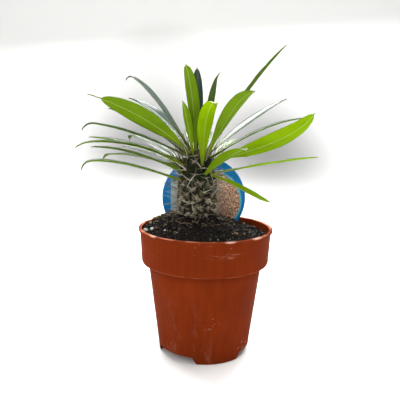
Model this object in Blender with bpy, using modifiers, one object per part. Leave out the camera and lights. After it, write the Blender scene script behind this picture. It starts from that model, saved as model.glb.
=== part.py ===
"""Potted pachypodium: a nursery pot, its soil, a plant tag, the spiny stem and its leaves.

Run with: blender --background --python part.py
Lengths below are in millimetres and angles in degrees, and MM turns them into Blender's metres.
The origin is on the pot's axis at the surface that it stands on. +Z is up, and -Y faces the viewer.
"""

import math
import random
from collections import namedtuple

import bmesh
import bpy
import numpy as np
from mathutils import Matrix, Vector, noise

MM = 0.001
GAP = 0.3  # left between pieces that touch
SEED = 11

# Pot
POT_HEIGHT = 80.0
RIM_RADIUS = 42.5
RIM_BEAD = 1.4
BAND_HEIGHT = 22.3
BAND_RADIUS_TOP = 41.4
BAND_RADIUS_LOW = 40.3
BODY_RADIUS_TOP = 36.0
FOOT_RADIUS = 28.7
FOOT_WIDTH = 1.6
FLOOR_UNDERSIDE = 5.2
WALL = 1.1
EDGE_BEVEL = 0.3  # on the rim's bead
BAND_ROUNDING = 1.6  # of the band's lower edge
SHOULDER = 0.8  # height over which the inside steps out to the band
CORNER = 1.0  # inside, between floor and wall
FOOT_TAPER = 1.2  # height of the foot's outer bevel
POT_STEPS = 48
NOTCHES = 3
NOTCH_HEIGHT = 4.6
NOTCH_WIDTH = 31.0
NOTCH_SLOPE = 1.6
NOTCH_OUT = 4.0  # how far its cutter reaches out of the foot, below it and into it
NOTCH_DOWN = 2.0
NOTCH_IN = 8.0
FIRST_NOTCH_AZIMUTH = 229.0
DRAIN_HOLES = 6
DRAIN_RADIUS = 3.0
DRAIN_CIRCLE = 16.0

# Soil, measured from the rim
SOIL_LEVEL = -2.6
SOIL_TILT_X = -0.03
SOIL_TILT_BACK = 0.02
MOUND_HEIGHT = 14.0
MOUND_SPREAD = 25.0
EDGE_DROP = 3.0
EDGE_START = 32.0
CRUMB_HEIGHT = 0.9
CRUMB_SIZE = 5.5
SOIL_STEPS = 48
SOIL_RINGS = 12
ROOT_HOLE_TOP = 96.0

# Stem
STEM_X = -5.8
SOIL_LINE = 85.0
STEM_SIDES = 48
ROW_HEIGHT = 1.6
# Height and radius of the stem between its tubercles, from the tip of the taproot to the growing point
STEM_PROFILE = (
    (42.0, 1.6),
    (55.0, 5.0),
    (70.0, 8.6),
    (85.0, 10.6),
    (95.0, 11.0),
    (105.0, 11.0),
    (112.0, 10.4),
    (118.0, 9.2),
    (123.0, 7.2),
    (127.0, 4.7),
    (129.3, 2.3),
    (130.3, 0.0),
)
ROOT_TIP = STEM_PROFILE[0][0]
STEM_TOP = STEM_PROFILE[-1][0]
RELIEF_FADE_LOW = 5.0  # heights over which the tubercles fade out at the soil line and at the growing point
RELIEF_FADE_TOP = 8.0
TUBERCLES = 96
TUBERCLE_RELIEF = 1.6
TUBERCLE_HALF_WIDTH = 3.3
TUBERCLE_HALF_HEIGHT = 3.0
TUBERCLE_SQUARENESS = 0.4  # 0 is a round base, 1 a rhombic one
TUBERCLE_STEEPNESS = 1.4
GOLDEN_ANGLE = 137.508

# Spines
SPINE_RADIUS = 0.42
SPINE_TIP_RADIUS = 0.12
SPINE_LENGTHS = (8.0, 13.0)
SHORTEST_SPINE = 4.0
SPINE_SUNK = 1.6
SPINE_SPLAY = 32.0
SPINE_SPLAY_RANGE = (0.6, 1.3)
SPINE_RISE = (-8.0, 30.0)
SPINE_RISE_PER_MM = 0.8  # spines point upwards more and more towards the crown
SPINE_CLEARANCE = 0.8
SPINE_STEP = 0.5  # steps in which a spine's room is tested, and the reach of one row of a blade there
BLADE_REACH = 2.0

# Tag
TAG_X = -1.6
TAG_Y = 22.0
TAG_CENTRE = 94.9
TAG_RADIUS = 27.8
TAG_THICKNESS = 0.8
STAKE_WIDTH = 14.0
STAKE_TIP = 48.0
STAKE_POINT = 10.0
TAG_ARC_STEPS = 40

# Leaves
LEAF_THICKNESS = 0.7
LEAF_ROWS = 14
SEAT_STEP = 0.05  # by which a leaf's base is drawn away from the stem until it is clear
STALK_SHARE = 0.24  # of the full width, at the base
WIDEST_AT = 0.6  # of the length
STALK_LENGTH_POWER = 1.6  # higher keeps the stalk narrow for longer
TIP_WIDTH = 0.7
FOLD = 0.16  # how far the edges stand above the midrib, as a share of the half width
HOOK_FROM = 0.88
TWIST_BY = 0.3  # share of the length over which a leaf turns to its roll
ELEVATION_STEPS = 56

Leaf = namedtuple("Leaf", "azimuth height rise length width droop bend sweep roll hook tip tail")

# azimuth: 0 to the right, 90 away from the viewer. height: where it leaves the stem. rise: its slope there.
# droop: how much of the slope is lost by the tip, and bend: how late. sweep: sideways turn.
# roll: turn about its own length. hook: the sharp bend of the last tenth.
# tip: low is blunt, high tapers. tail: the share of the length that is a thin dry tail.
LEAVES = (
    Leaf(15, 127, 56, 84, 9, 10, 2.0, 4, -32, 0, 1.0, 0),
    Leaf(-34, 125, 58, 60, 12, 56, 2.6, -34, 0, 0, 0.5, 0),
    Leaf(-70, 121, 87, 46.5, 10, 78, 2.1, 0, 0, 60, 0.45, 0),
    Leaf(240, 129, 87, 52, 8.5, 31, 1.6, 7, 0, 0, 0.4, 0),
    Leaf(98, 129, 82, 50, 7.5, 0, 2.0, 0, 0, 0, 0.5, 0),
    Leaf(235, 127, 75, 32, 6, 10, 2.0, 0, 0, 0, 0.5, 0),
    Leaf(20, 129, 79.5, 47.5, 7.5, 2, 2.2, 0, 14, 20, 0.8, 0),
    Leaf(38, 125, 31, 77, 12, 9, 2.0, -1, -4, 0, 0.9, 0),
    Leaf(10, 124, 31, 65, 9, 24, 2.0, 0, -2, 0, 0.8, 0),
    Leaf(-6, 121, 19, 69, 12, -36, 3.5, -4, -60, 0, 0.5, 0),
    Leaf(-61, 115, 29, 45, 12, 10, 1.9, 7, 0, 50, 0.5, 0),
    Leaf(25, 114, 7, 79, 11, 3, 2.2, 0, -13, 0, 0.8, 0),
    Leaf(-42, 115, -13, 58, 8.5, -16, 2.4, -30, -46, 0, 0.8, 0),
    Leaf(200, 127, 42.5, 70, 12, 26, 1.0, -6, 60, 0, 0.55, 0.1),
    Leaf(150, 125, 32, 65, 11, 17, 1.7, 11, 0, 0, 0.7, 0),
    Leaf(160, 128, 52, 76, 6.5, 34, 2.0, -30, 0, 50, 1.3, 0),
    Leaf(130, 127, 36, 69, 11, 19, 1.7, 16, 0, 0, 0.9, 0),
    Leaf(195, 125, 25, 68, 11, 20, 1.7, -3, 0, 60, 0.9, 0),
    Leaf(172, 122, 17, 61, 11, 13, 2.0, 1, 0, 0, 0.9, 0),
    Leaf(204, 120, 28, 67, 11, 37, 1.3, -2, 0, 20, 0.9, 0),
    Leaf(140, 119, 22, 56, 10, 12, 2.0, 0, -9, 70, 0.4, 0),
    Leaf(202, 116, 23, 57, 11, 21, 2.0, 0, 0, 0, 0.9, 0),
    Leaf(150, 117, 10, 71, 11, 22, 2.0, -7, 0, 40, 0.9, 0),
    Leaf(205, 111, 18, 63, 11, 28, 2.7, -15, 0, 60, 0.9, 0),
    Leaf(163, 118, 20, 41, 9, 12, 2.0, 0, -7, 0, 0.6, 0),
    Leaf(84, 124, 24, 50, 10, 22, 2.0, 0, 0, 0, 0.6, 0),
    Leaf(48, 121, 25, 33, 9, 8, 2.0, 8, 0, 0, 0.6, 0),
    Leaf(101, 126, 26, 47, 8, 28, 2.0, -6, 0, 0, 0.6, 0),
)


def clear_scene():
    for obj in list(bpy.data.objects):
        bpy.data.objects.remove(obj, do_unlink=True)


def new_collection(name):
    collection = bpy.data.collections.new(name)
    bpy.context.scene.collection.children.link(collection)
    return collection


def linear(channel):
    """One sRGB channel, 0 to 1, as linear light."""
    return channel / 12.92 if channel <= 0.04045 else ((channel + 0.055) / 1.055) ** 2.4


def material(name, colour, roughness, metallic=0.0):
    """A Principled material of a colour given as sRGB hex."""
    made = bpy.data.materials.new(name)
    made.use_nodes = True
    channels = [linear(int(colour[i : i + 2], 16) / 255) for i in (0, 2, 4)]
    shader = made.node_tree.nodes["Principled BSDF"]
    shader.inputs["Base Color"].default_value = (*channels, 1)
    shader.inputs["Roughness"].default_value = roughness
    shader.inputs["Metallic"].default_value = metallic
    return made


def add_object(name, mesh, look, collection, parent=None):
    obj = bpy.data.objects.new(name, mesh)
    collection.objects.link(obj)
    obj.parent = parent
    if look:
        mesh.materials.append(look)
    mesh.shade_smooth()
    mesh.set_sharp_from_angle(angle=math.radians(35))
    return obj


def as_cutter(obj):
    obj.hide_render = True
    obj.display_type = "WIRE"
    return obj


def mesh_of(bm, name):
    bmesh.ops.recalc_face_normals(bm, faces=bm.faces)
    mesh = bpy.data.meshes.new(name)
    bm.to_mesh(mesh)
    bm.free()
    return mesh


def profile_mesh(name, points):
    """An open line of (radius, height) points in the XZ plane, for a Screw modifier."""
    mesh = bpy.data.meshes.new(name)
    edges = [(i, i + 1) for i in range(len(points) - 1)]
    mesh.from_pydata([(r * MM, 0, z * MM) for r, z in points], edges, [])
    return mesh


def turned(name, points, steps, look, collection, parent=None):
    """A profile turned round the Z axis. Its points run over the top and down the outer side."""
    obj = add_object(name, profile_mesh(name, points), look, collection, parent)
    screw = obj.modifiers.new("Turn", "SCREW")
    screw.axis = "Z"
    screw.steps = steps
    screw.render_steps = steps
    screw.use_merge_vertices = True
    screw.merge_threshold = 0.00001
    screw.use_smooth_shade = True
    return obj


def apply_modifiers(obj):
    """Gives the object the mesh that its modifiers make."""
    graph = bpy.context.evaluated_depsgraph_get()
    made = bpy.data.meshes.new_from_object(obj.evaluated_get(graph))
    obj.modifiers.clear()
    obj.data = made


def boolean(obj, operation, other):
    modifier = obj.modifiers.new(operation.title(), "BOOLEAN")
    modifier.operation = operation
    modifier.solver = "EXACT"
    if isinstance(other, bpy.types.Collection):
        modifier.operand_type = "COLLECTION"
        modifier.collection = other
    else:
        modifier.object = other


def smooth_step(x):
    x = min(max(x, 0.0), 1.0)
    return x * x * (3 - 2 * x)


# The pot


def pot_outer(height):
    """Outer radius of the body below the band."""
    share = height / (POT_HEIGHT - BAND_HEIGHT)
    return FOOT_RADIUS + (BODY_RADIUS_TOP - FOOT_RADIUS) * share


def pot_inner_profile(clearance):
    """Inside of the pot from the floor's middle to the lip, drawn in by a clearance."""
    floor = FLOOR_UNDERSIDE + WALL + clearance
    shoulder = POT_HEIGHT - BAND_HEIGHT + WALL + BAND_ROUNDING / 2 + clearance
    inset = WALL + clearance
    return [
        (0.0, floor),
        (pot_outer(floor) - inset - CORNER, floor),
        (pot_outer(floor) - inset, floor + CORNER),
        (BODY_RADIUS_TOP - inset, shoulder),
        (BAND_RADIUS_LOW - inset, shoulder + SHOULDER),
        (BAND_RADIUS_TOP - inset, POT_HEIGHT),
    ]


def make_pot(parts, cutters, look):
    band_low = POT_HEIGHT - BAND_HEIGHT
    outer = [
        (RIM_RADIUS - EDGE_BEVEL, POT_HEIGHT),
        (RIM_RADIUS, POT_HEIGHT - EDGE_BEVEL),
        (RIM_RADIUS, POT_HEIGHT - RIM_BEAD + EDGE_BEVEL),
        (RIM_RADIUS - EDGE_BEVEL, POT_HEIGHT - RIM_BEAD),
        (BAND_RADIUS_TOP, POT_HEIGHT - RIM_BEAD - EDGE_BEVEL),
        (BAND_RADIUS_LOW, band_low + BAND_ROUNDING),
        (BAND_RADIUS_LOW - BAND_ROUNDING / 3, band_low + BAND_ROUNDING / 3),
        (BAND_RADIUS_LOW - BAND_ROUNDING, band_low),
        (BODY_RADIUS_TOP + 2 * EDGE_BEVEL, band_low),
        (BODY_RADIUS_TOP, band_low - 2 * EDGE_BEVEL),
        (pot_outer(FOOT_TAPER), FOOT_TAPER),
        (FOOT_RADIUS - EDGE_BEVEL, 0.0),
        (FOOT_RADIUS - FOOT_WIDTH, 0.0),
        (FOOT_RADIUS - FOOT_WIDTH, FLOOR_UNDERSIDE - 2 * EDGE_BEVEL),
        (FOOT_RADIUS - FOOT_WIDTH - 2 * EDGE_BEVEL, FLOOR_UNDERSIDE),
        (0.0, FLOOR_UNDERSIDE),
    ]
    pot = turned("pot", pot_inner_profile(0.0) + outer, POT_STEPS, look, parts)
    for i in range(NOTCHES):
        boolean(pot, "DIFFERENCE", notch_cutter(i, cutters))
    for i in range(DRAIN_HOLES):
        boolean(pot, "DIFFERENCE", drain_cutter(i, cutters))
    return pot


def notch_cutter(index, cutters):
    """A trapezium through the foot ring, wide at the bottom and sloped at both ends."""
    bm = bmesh.new()
    bmesh.ops.create_cube(bm, size=1.0)
    for vertex in bm.verts:
        height = NOTCH_HEIGHT if vertex.co.z > 0 else -NOTCH_DOWN
        half = NOTCH_WIDTH / 2 - NOTCH_SLOPE * height / NOTCH_HEIGHT
        vertex.co.x = (FOOT_RADIUS + (NOTCH_OUT if vertex.co.x > 0 else -NOTCH_IN)) * MM
        vertex.co.y = math.copysign(half, vertex.co.y) * MM
        vertex.co.z = height * MM
    cutter = as_cutter(add_object(f"notch_cutter_{index}", mesh_of(bm, "notch_cutter"), None, cutters))
    cutter.rotation_euler.z = math.radians(FIRST_NOTCH_AZIMUTH + index * 360 / NOTCHES)
    return cutter


def drain_cutter(index, cutters):
    bm = bmesh.new()
    bmesh.ops.create_cone(
        bm,
        cap_ends=True,
        segments=12,
        radius1=DRAIN_RADIUS * MM,
        radius2=DRAIN_RADIUS * MM,
        depth=4 * WALL * MM,
    )
    cutter = as_cutter(add_object(f"drain_cutter_{index}", mesh_of(bm, "drain_cutter"), None, cutters))
    azimuth = math.radians(FIRST_NOTCH_AZIMUTH + index * 360 / DRAIN_HOLES)
    cutter.location = (
        DRAIN_CIRCLE * math.cos(azimuth) * MM,
        DRAIN_CIRCLE * math.sin(azimuth) * MM,
        (FLOOR_UNDERSIDE + WALL / 2) * MM,
    )
    return cutter


# The soil


def soil_height(x, y):
    """Height of the soil's surface, without its crumbs."""
    from_stem = math.hypot(x - STEM_X, y)
    from_axis = math.hypot(x, y)
    level = POT_HEIGHT + SOIL_LEVEL + SOIL_TILT_X * x + SOIL_TILT_BACK * max(y, 0.0)
    mound = MOUND_HEIGHT * math.exp(-((from_stem / MOUND_SPREAD) ** 2))
    edge = smooth_step((from_axis - EDGE_START) / (BAND_RADIUS_TOP - EDGE_START))
    return level + mound - EDGE_DROP * edge


def make_soil(parts, cutters, look):
    wall = pot_inner_profile(GAP)
    lip = wall[-1][0]
    surface = [(lip * (1 - i / SOIL_RINGS), POT_HEIGHT + 1) for i in range(SOIL_RINGS + 1)]
    # The turned line runs over the top and down the side, so the wall is taken from the lip to the floor.
    soil = turned("soil", surface[::-1] + wall[-2::-1], SOIL_STEPS, look, parts)
    apply_modifiers(soil)
    for vertex in soil.data.vertices:
        if vertex.co.z < POT_HEIGHT * MM:
            continue
        x, y = vertex.co.x / MM, vertex.co.y / MM
        crumbs = CRUMB_HEIGHT * noise.noise(Vector((x, y, 0)) / CRUMB_SIZE)
        height = soil_height(x, y) + crumbs
        inset = np.interp(height, *zip(*[(z, r) for r, z in wall[-2:]])) / lip
        vertex.co = Vector((x * inset, y * inset, height)) * MM
    boolean(soil, "DIFFERENCE", root_cutter(cutters))
    boolean(soil, "DIFFERENCE", tag_cutter(cutters))
    return soil


def root_cutter(cutters):
    """The plain hole that the root stands in."""
    heights = [z for z, _ in STEM_PROFILE if z <= SOIL_LINE]
    heights += [SOIL_LINE + RELIEF_FADE_LOW, ROOT_HOLE_TOP]
    side = [(stem_radius(z) + relief_fade(z) * TUBERCLE_RELIEF + GAP, z) for z in heights]
    points = [(0.0, ROOT_HOLE_TOP)] + side[::-1] + [(0.0, ROOT_TIP - GAP)]
    cutter = as_cutter(turned("root_cutter", points, STEM_SIDES, None, cutters))
    cutter.location.x = STEM_X * MM
    apply_modifiers(cutter)
    return cutter


# The tag


def card_mesh(name, radius, thickness, stake_width, tip):
    """A round card with a pointed stake below it, about the head's centre, as one thick flat outline."""
    half = stake_width / 2
    join = math.asin(half / radius)
    outline = []
    for i in range(TAG_ARC_STEPS + 1):
        angle = -math.pi / 2 + join + (2 * math.pi - 2 * join) * i / TAG_ARC_STEPS
        outline.append((radius * math.cos(angle), radius * math.sin(angle)))
    drop = tip - TAG_CENTRE
    outline += [(-half, drop + STAKE_POINT), (0.0, drop), (half, drop + STAKE_POINT)]
    bm = bmesh.new()
    corners = [bm.verts.new((x * MM, -thickness / 2 * MM, z * MM)) for x, z in outline]
    face = bm.faces.new(corners)
    raised = bmesh.ops.extrude_face_region(bm, geom=[face])
    moved = [item for item in raised["geom"] if isinstance(item, bmesh.types.BMVert)]
    bmesh.ops.translate(bm, verts=moved, vec=(0, thickness * MM, 0))
    return mesh_of(bm, name)


def make_tag(parts, look):
    tag = add_object("tag", card_mesh("tag", TAG_RADIUS, TAG_THICKNESS, STAKE_WIDTH, STAKE_TIP), look, parts)
    tag.location = (TAG_X * MM, TAG_Y * MM, TAG_CENTRE * MM)
    return tag


def tag_cutter(cutters):
    mesh = card_mesh(
        "tag_cutter",
        TAG_RADIUS + GAP,
        TAG_THICKNESS + 2 * GAP,
        STAKE_WIDTH + 2 * GAP,
        STAKE_TIP - 2 * GAP,
    )
    cutter = as_cutter(add_object("tag_cutter", mesh, None, cutters))
    cutter.location = (TAG_X * MM, TAG_Y * MM, TAG_CENTRE * MM)
    return cutter


# The stem


def stem_radius(height):
    """Radius between the tubercles."""
    heights, radii = zip(*STEM_PROFILE)
    return float(np.interp(height, heights, radii))


def stem_slope(height):
    """How much the radius grows per millimetre of height."""
    return stem_radius(height + 0.5) - stem_radius(height - 0.5)


def relief_fade(height):
    """Tubercles stand out from just above the soil line and shrink towards the growing point."""
    low = smooth_step((height - SOIL_LINE) / RELIEF_FADE_LOW)
    return low * smooth_step((STEM_TOP - height) / RELIEF_FADE_TOP)


def tubercle_places():
    """(angle, height) of each tubercle: the golden angle apart, at equal areas of the stem's surface."""
    heights = np.linspace(SOIL_LINE, STEM_TOP, 200)
    radii = np.array([stem_radius(z) for z in heights])
    lengths = np.hypot(np.diff(heights), np.diff(radii))
    area = np.concatenate([[0], np.cumsum(lengths * (radii[1:] + radii[:-1]) / 2)])
    places = []
    for i in range(TUBERCLES):
        height = float(np.interp((i + 0.5) / TUBERCLES * area[-1], area, heights))
        places.append((math.radians(i * GOLDEN_ANGLE % 360), height))
    return places


def surface_radius(angle, height, places):
    """Radius of the stem with its rhombic tubercles."""
    core = stem_radius(height)
    bump = 0.0
    for place_angle, place_height in places:
        rise = abs(height - place_height) / TUBERCLE_HALF_HEIGHT
        if rise >= 1:
            continue
        turn = math.remainder(angle - place_angle, math.tau)
        across = abs(turn) * core / TUBERCLE_HALF_WIDTH
        away = (1 - TUBERCLE_SQUARENESS) * math.hypot(across, rise) + TUBERCLE_SQUARENESS * (across + rise)
        bump = max(bump, 1 - away)
    return core + TUBERCLE_RELIEF * relief_fade(height) * smooth_step(bump * TUBERCLE_STEEPNESS)


def surface_point(angle, height, places):
    """Point on the stem and the outward normal of its profile there."""
    radius = surface_radius(angle, height, places)
    outward = Vector((math.cos(angle), math.sin(angle), 0))
    normal = (outward - Vector((0, 0, stem_slope(height)))).normalized()
    return outward * radius + Vector((0, 0, height)), normal


def stem_clearance(point, places):
    """How far a point lies outside the stem, about."""
    if point.z >= STEM_TOP:
        return point.z - STEM_TOP + math.hypot(point.x, point.y)
    radius = surface_radius(math.atan2(point.y, point.x), point.z, places)
    return (math.hypot(point.x, point.y) - radius) / math.hypot(1, stem_slope(point.z))


def make_stem(parts, look, plant, places):
    rows = int((STEM_TOP - SOIL_LINE) / ROW_HEIGHT)
    heights = [z for z, _ in STEM_PROFILE if z < SOIL_LINE]
    heights += [SOIL_LINE + (STEM_TOP - SOIL_LINE) * i / rows for i in range(rows)]
    side = [(stem_radius(z), z) for z in heights]
    points = [(0.0, STEM_TOP)] + side[::-1] + [(0.0, ROOT_TIP)]
    stem = turned("stem", points, STEM_SIDES, look, parts, plant)
    apply_modifiers(stem)
    for vertex in stem.data.vertices:
        x, y, z = vertex.co / MM
        on_axis = math.hypot(x, y) < MM
        if z <= SOIL_LINE or on_axis:
            continue
        angle = math.atan2(y, x)
        radius = surface_radius(angle, z, places)
        vertex.co.x = radius * math.cos(angle) * MM
        vertex.co.y = radius * math.sin(angle) * MM
    return stem


# The leaves


def half_width(leaf, t):
    """A narrow stalk, widest past the middle, then the tip and its tail."""
    full = leaf.width / 2
    t = min(t / (1 - leaf.tail), 1)
    if t < WIDEST_AT:
        grown = math.sin(math.pi / 2 * t / WIDEST_AT) ** STALK_LENGTH_POWER
        return full * (STALK_SHARE + (1 - STALK_SHARE) * grown)
    past = (t - WIDEST_AT) / (1 - WIDEST_AT)
    return max(full * (1 - past**2) ** leaf.tip, TIP_WIDTH / 2)


def leaf_line(leaf):
    """Points and directions along the midrib from (0, 0, 0), for a leaf that grows towards +X."""
    point = Vector((0, 0, 0))
    line = [(point.copy(), leaf_direction(leaf, 0))]
    for i in range(ELEVATION_STEPS):
        point += leaf_direction(leaf, (i + 0.5) / ELEVATION_STEPS) * leaf.length / ELEVATION_STEPS
        line.append((point.copy(), leaf_direction(leaf, (i + 1) / ELEVATION_STEPS)))
    return line


def leaf_direction(leaf, t):
    hook = leaf.hook * max(0.0, (t - HOOK_FROM) / (1 - HOOK_FROM))
    elevation = math.radians(leaf.rise - leaf.droop * t**leaf.bend - hook)
    turn = math.radians(leaf.sweep * t)
    flat = math.cos(elevation)
    return Vector((flat * math.cos(turn), flat * math.sin(turn), math.sin(elevation)))


def leaf_frames(leaf, rows):
    """(point, side, normal, half width) at each row of the blade, in the leaf's own frame."""
    line = leaf_line(leaf)
    frames = []
    for row in range(rows + 1):
        t = row / rows
        point, direction = line[round(t * ELEVATION_STEPS)]
        turn = math.radians(leaf.sweep * t)
        side = Vector((math.sin(turn), -math.cos(turn), 0))
        normal = side.cross(direction)
        twist = Matrix.Rotation(math.radians(leaf.roll) * min(t / TWIST_BY, 1), 3, direction)
        frames.append((point, twist @ side, twist @ normal, half_width(leaf, t)))
    return frames


def leaf_base(leaf, places):
    """Where the leaf's own origin lies on the stem: as near as its stalk's corners allow."""
    turn = Matrix.Rotation(math.radians(leaf.azimuth), 3, "Z")
    base, outward = surface_point(math.radians(leaf.azimuth), leaf.height, places)
    corners = []
    for point, side, normal, half in leaf_frames(leaf, LEAF_ROWS)[:2]:
        for across in (-1, 0, 1):
            for face in (-1, 1):
                raised = abs(across) * half * FOLD + face * LEAF_THICKNESS / 2
                corners.append(turn @ (point + side * across * half + normal * raised))
    while any(stem_clearance(base + corner, places) < GAP for corner in corners):
        base += outward * SEAT_STEP
    return base


def leaf_mesh(leaf):
    frames = leaf_frames(leaf, LEAF_ROWS)
    bm = bmesh.new()
    bmesh.ops.create_grid(bm, x_segments=2, y_segments=LEAF_ROWS, size=1.0)
    for vertex in bm.verts:
        across = vertex.co.x
        point, side, normal, half = frames[round((vertex.co.y + 1) / 2 * LEAF_ROWS)]
        vertex.co = (point + side * across * half + normal * abs(across) * half * FOLD) * MM
    bmesh.ops.triangulate(bm, faces=bm.faces)
    return mesh_of(bm, "leaf")


def make_leaf(number, leaf, parts, look, plant, places):
    obj = add_object(f"leaf_{number:02d}", leaf_mesh(leaf), look, parts, plant)
    obj.location = leaf_base(leaf, places) * MM
    obj.rotation_euler.z = math.radians(leaf.azimuth)
    blade = obj.modifiers.new("Blade", "SOLIDIFY")
    blade.thickness = LEAF_THICKNESS * MM
    blade.offset = 0.0
    return obj


# The spines


def blades_near_stem(places):
    """The frames of every leaf, turned into the plant's frame."""
    blades = []
    for leaf in LEAVES:
        turn = Matrix.Rotation(math.radians(leaf.azimuth), 3, "Z")
        base = leaf_base(leaf, places)
        for point, side, normal, half in leaf_frames(leaf, ELEVATION_STEPS):
            blades.append((base + turn @ point, turn @ side, turn @ normal, half))
    return blades


def is_clear(point, blades):
    """Whether a point of a spine keeps its distance from the leaves, the soil and the tag."""
    x, y, z = point.x + STEM_X, point.y, point.z
    if z < soil_height(x, y) + CRUMB_HEIGHT + SPINE_CLEARANCE:
        return False
    if abs(y - TAG_Y) < TAG_THICKNESS / 2 + SPINE_CLEARANCE + SPINE_RADIUS:
        return False
    for centre, side, normal, half in blades:
        away = point - centre
        if abs(away.dot(normal)) > half * FOLD + LEAF_THICKNESS / 2 + SPINE_RADIUS + SPINE_CLEARANCE:
            continue
        across = away.dot(side)
        along = (away - side * across - normal * away.dot(normal)).length
        if abs(across) < half + SPINE_RADIUS + SPINE_CLEARANCE and along < BLADE_REACH:
            return False
    return True


def clear_length(root, direction, length, blades):
    """The spine's length, cut short before a leaf, the soil or the tag. 0 where there is no room."""
    reach = 0.0
    while reach < length and is_clear(root + direction * (reach + SPINE_STEP), blades):
        reach += SPINE_STEP
    return reach if reach >= SHORTEST_SPINE else 0.0


def spine_mesh(length):
    bm = bmesh.new()
    bmesh.ops.create_cone(
        bm,
        cap_ends=True,
        segments=3,
        radius1=SPINE_RADIUS * MM,
        radius2=SPINE_TIP_RADIUS * MM,
        depth=(length + SPINE_SUNK) * MM,
    )
    bmesh.ops.translate(bm, verts=bm.verts, vec=(0, 0, (length - SPINE_SUNK) / 2 * MM))
    return mesh_of(bm, "spine")


def add_spines(stem, places):
    """Two splayed spines from the top of each tubercle, joined to the stem as one solid."""
    draw = random.Random(SEED)
    blades = blades_near_stem(places)
    spines = new_collection("spines")
    for angle, height in places:
        for lean in (-1, 1):
            splay = math.radians(lean * SPINE_SPLAY * draw.uniform(*SPINE_SPLAY_RANGE))
            rise = math.radians(draw.uniform(*SPINE_RISE) + SPINE_RISE_PER_MM * (height - SOIL_LINE))
            wanted = draw.uniform(*SPINE_LENGTHS)
            root, _ = surface_point(angle, height, places)
            heading = angle + splay
            flat = math.cos(rise)
            direction = Vector((flat * math.cos(heading), flat * math.sin(heading), math.sin(rise)))
            length = clear_length(root, direction, wanted, blades)
            if not length:
                continue
            spine = add_object("spine", spine_mesh(length), None, spines)
            spine.location = root * MM + stem.matrix_world.translation
            spine.rotation_euler = direction.to_track_quat("Z", "Y").to_euler()
    boolean(stem, "UNION", spines)
    bpy.context.view_layer.update()
    apply_modifiers(stem)
    for spine in list(spines.objects):
        bpy.data.objects.remove(spine, do_unlink=True)
    bpy.data.collections.remove(spines)


def main():
    clear_scene()
    parts = new_collection("potted_pachypodium")
    cutters = new_collection("cutters")
    looks = {
        "pot": material("Terracotta plastic", "7D3017", 0.45),
        "soil": material("Potting soil", "241D18", 0.95),
        "tag": material("Printed card", "1272AB", 0.35),
        "stem": material("Stem skin", "66624F", 0.8),
        "leaf": material("Leaf", "6A960A", 0.4),
    }
    make_pot(parts, cutters, looks["pot"])
    make_tag(parts, looks["tag"])
    make_soil(parts, cutters, looks["soil"])

    plant = bpy.data.objects.new("plant", None)
    parts.objects.link(plant)
    plant.location.x = STEM_X * MM
    places = tubercle_places()
    stem = make_stem(parts, looks["stem"], plant, places)
    bpy.context.view_layer.update()
    add_spines(stem, places)
    for number, leaf in enumerate(LEAVES, start=1):
        make_leaf(number, leaf, parts, looks["leaf"], plant, places)


if __name__ == "__main__":
    main()
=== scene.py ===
"""Potted pachypodium: a spiny-stemmed succulent with long leaves, in a nursery pot with a round plant tag.

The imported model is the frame. Each operator below adds one piece, or one group of like pieces, around it.
Lengths in the constants are in millimetres and angles in degrees, and MM turns them into Blender's metres.
"""

import math
from collections import namedtuple

import bmesh
import bpy
import numpy as np
from mathutils import Matrix, Vector, noise


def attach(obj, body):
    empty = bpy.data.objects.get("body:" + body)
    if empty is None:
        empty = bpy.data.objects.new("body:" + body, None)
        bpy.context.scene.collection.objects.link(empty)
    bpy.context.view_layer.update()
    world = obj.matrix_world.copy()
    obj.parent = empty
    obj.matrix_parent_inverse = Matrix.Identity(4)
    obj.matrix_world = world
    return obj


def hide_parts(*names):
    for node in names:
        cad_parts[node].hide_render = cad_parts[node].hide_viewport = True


bl_info = {
    "name": "Potted Pachypodium",
    "version": (1, 0, 0),
    "blender": (4, 5, 0),
    "location": "3D View > Sidebar > Pachypodium",
    "description": "Builds the detailed pieces of a potted pachypodium around its packed model",
    "category": "Object",
}

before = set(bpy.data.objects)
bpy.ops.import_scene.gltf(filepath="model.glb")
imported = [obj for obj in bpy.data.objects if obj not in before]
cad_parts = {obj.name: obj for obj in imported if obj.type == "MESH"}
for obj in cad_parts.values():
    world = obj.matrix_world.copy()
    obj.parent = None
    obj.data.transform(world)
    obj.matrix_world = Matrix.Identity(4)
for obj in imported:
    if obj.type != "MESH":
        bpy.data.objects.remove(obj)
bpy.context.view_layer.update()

MM = 0.001
GAP = 0.3

# Pot
POT_HEIGHT = 80.0
RIM_RADIUS = 42.5
RIM_BEAD = 1.4
BAND_HEIGHT = 22.3
BAND_RADIUS_TOP = 41.4
BAND_RADIUS_LOW = 40.3
BODY_RADIUS_TOP = 36.0
FOOT_RADIUS = 28.7
FOOT_WIDTH = 1.6
FLOOR_UNDERSIDE = 5.2
WALL = 1.1
EDGE_BEVEL = 0.3
BAND_ROUNDING = 1.6
SHOULDER = 0.8
CORNER = 1.0
FOOT_TAPER = 1.2
POT_STEPS = 192
NOTCHES = 3
NOTCH_HEIGHT = 4.6
NOTCH_WIDTH = 31.0
NOTCH_SLOPE = 1.6
NOTCH_OUT = 4.0
NOTCH_DOWN = 2.0
NOTCH_IN = 8.0
FIRST_NOTCH_AZIMUTH = 229.0
DRAIN_HOLES = 6
DRAIN_RADIUS = 3.0
DRAIN_CIRCLE = 16.0
DRAIN_STEPS = 32
INNER_ROUNDING = 0.7
OUTER_ROUNDING = 0.5
LIP_ROUNDING = 0.4
LIP_INSET = 0.3
LIP_RISE = 0.25

# Soil
SOIL_LEVEL = -2.6
SOIL_TILT_X = -0.03
SOIL_TILT_BACK = 0.02
MOUND_HEIGHT = 14.0
MOUND_SPREAD = 25.0
EDGE_DROP = 3.0
EDGE_START = 32.0
SOIL_STEPS = 160
SOIL_RINGS = 64
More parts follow.
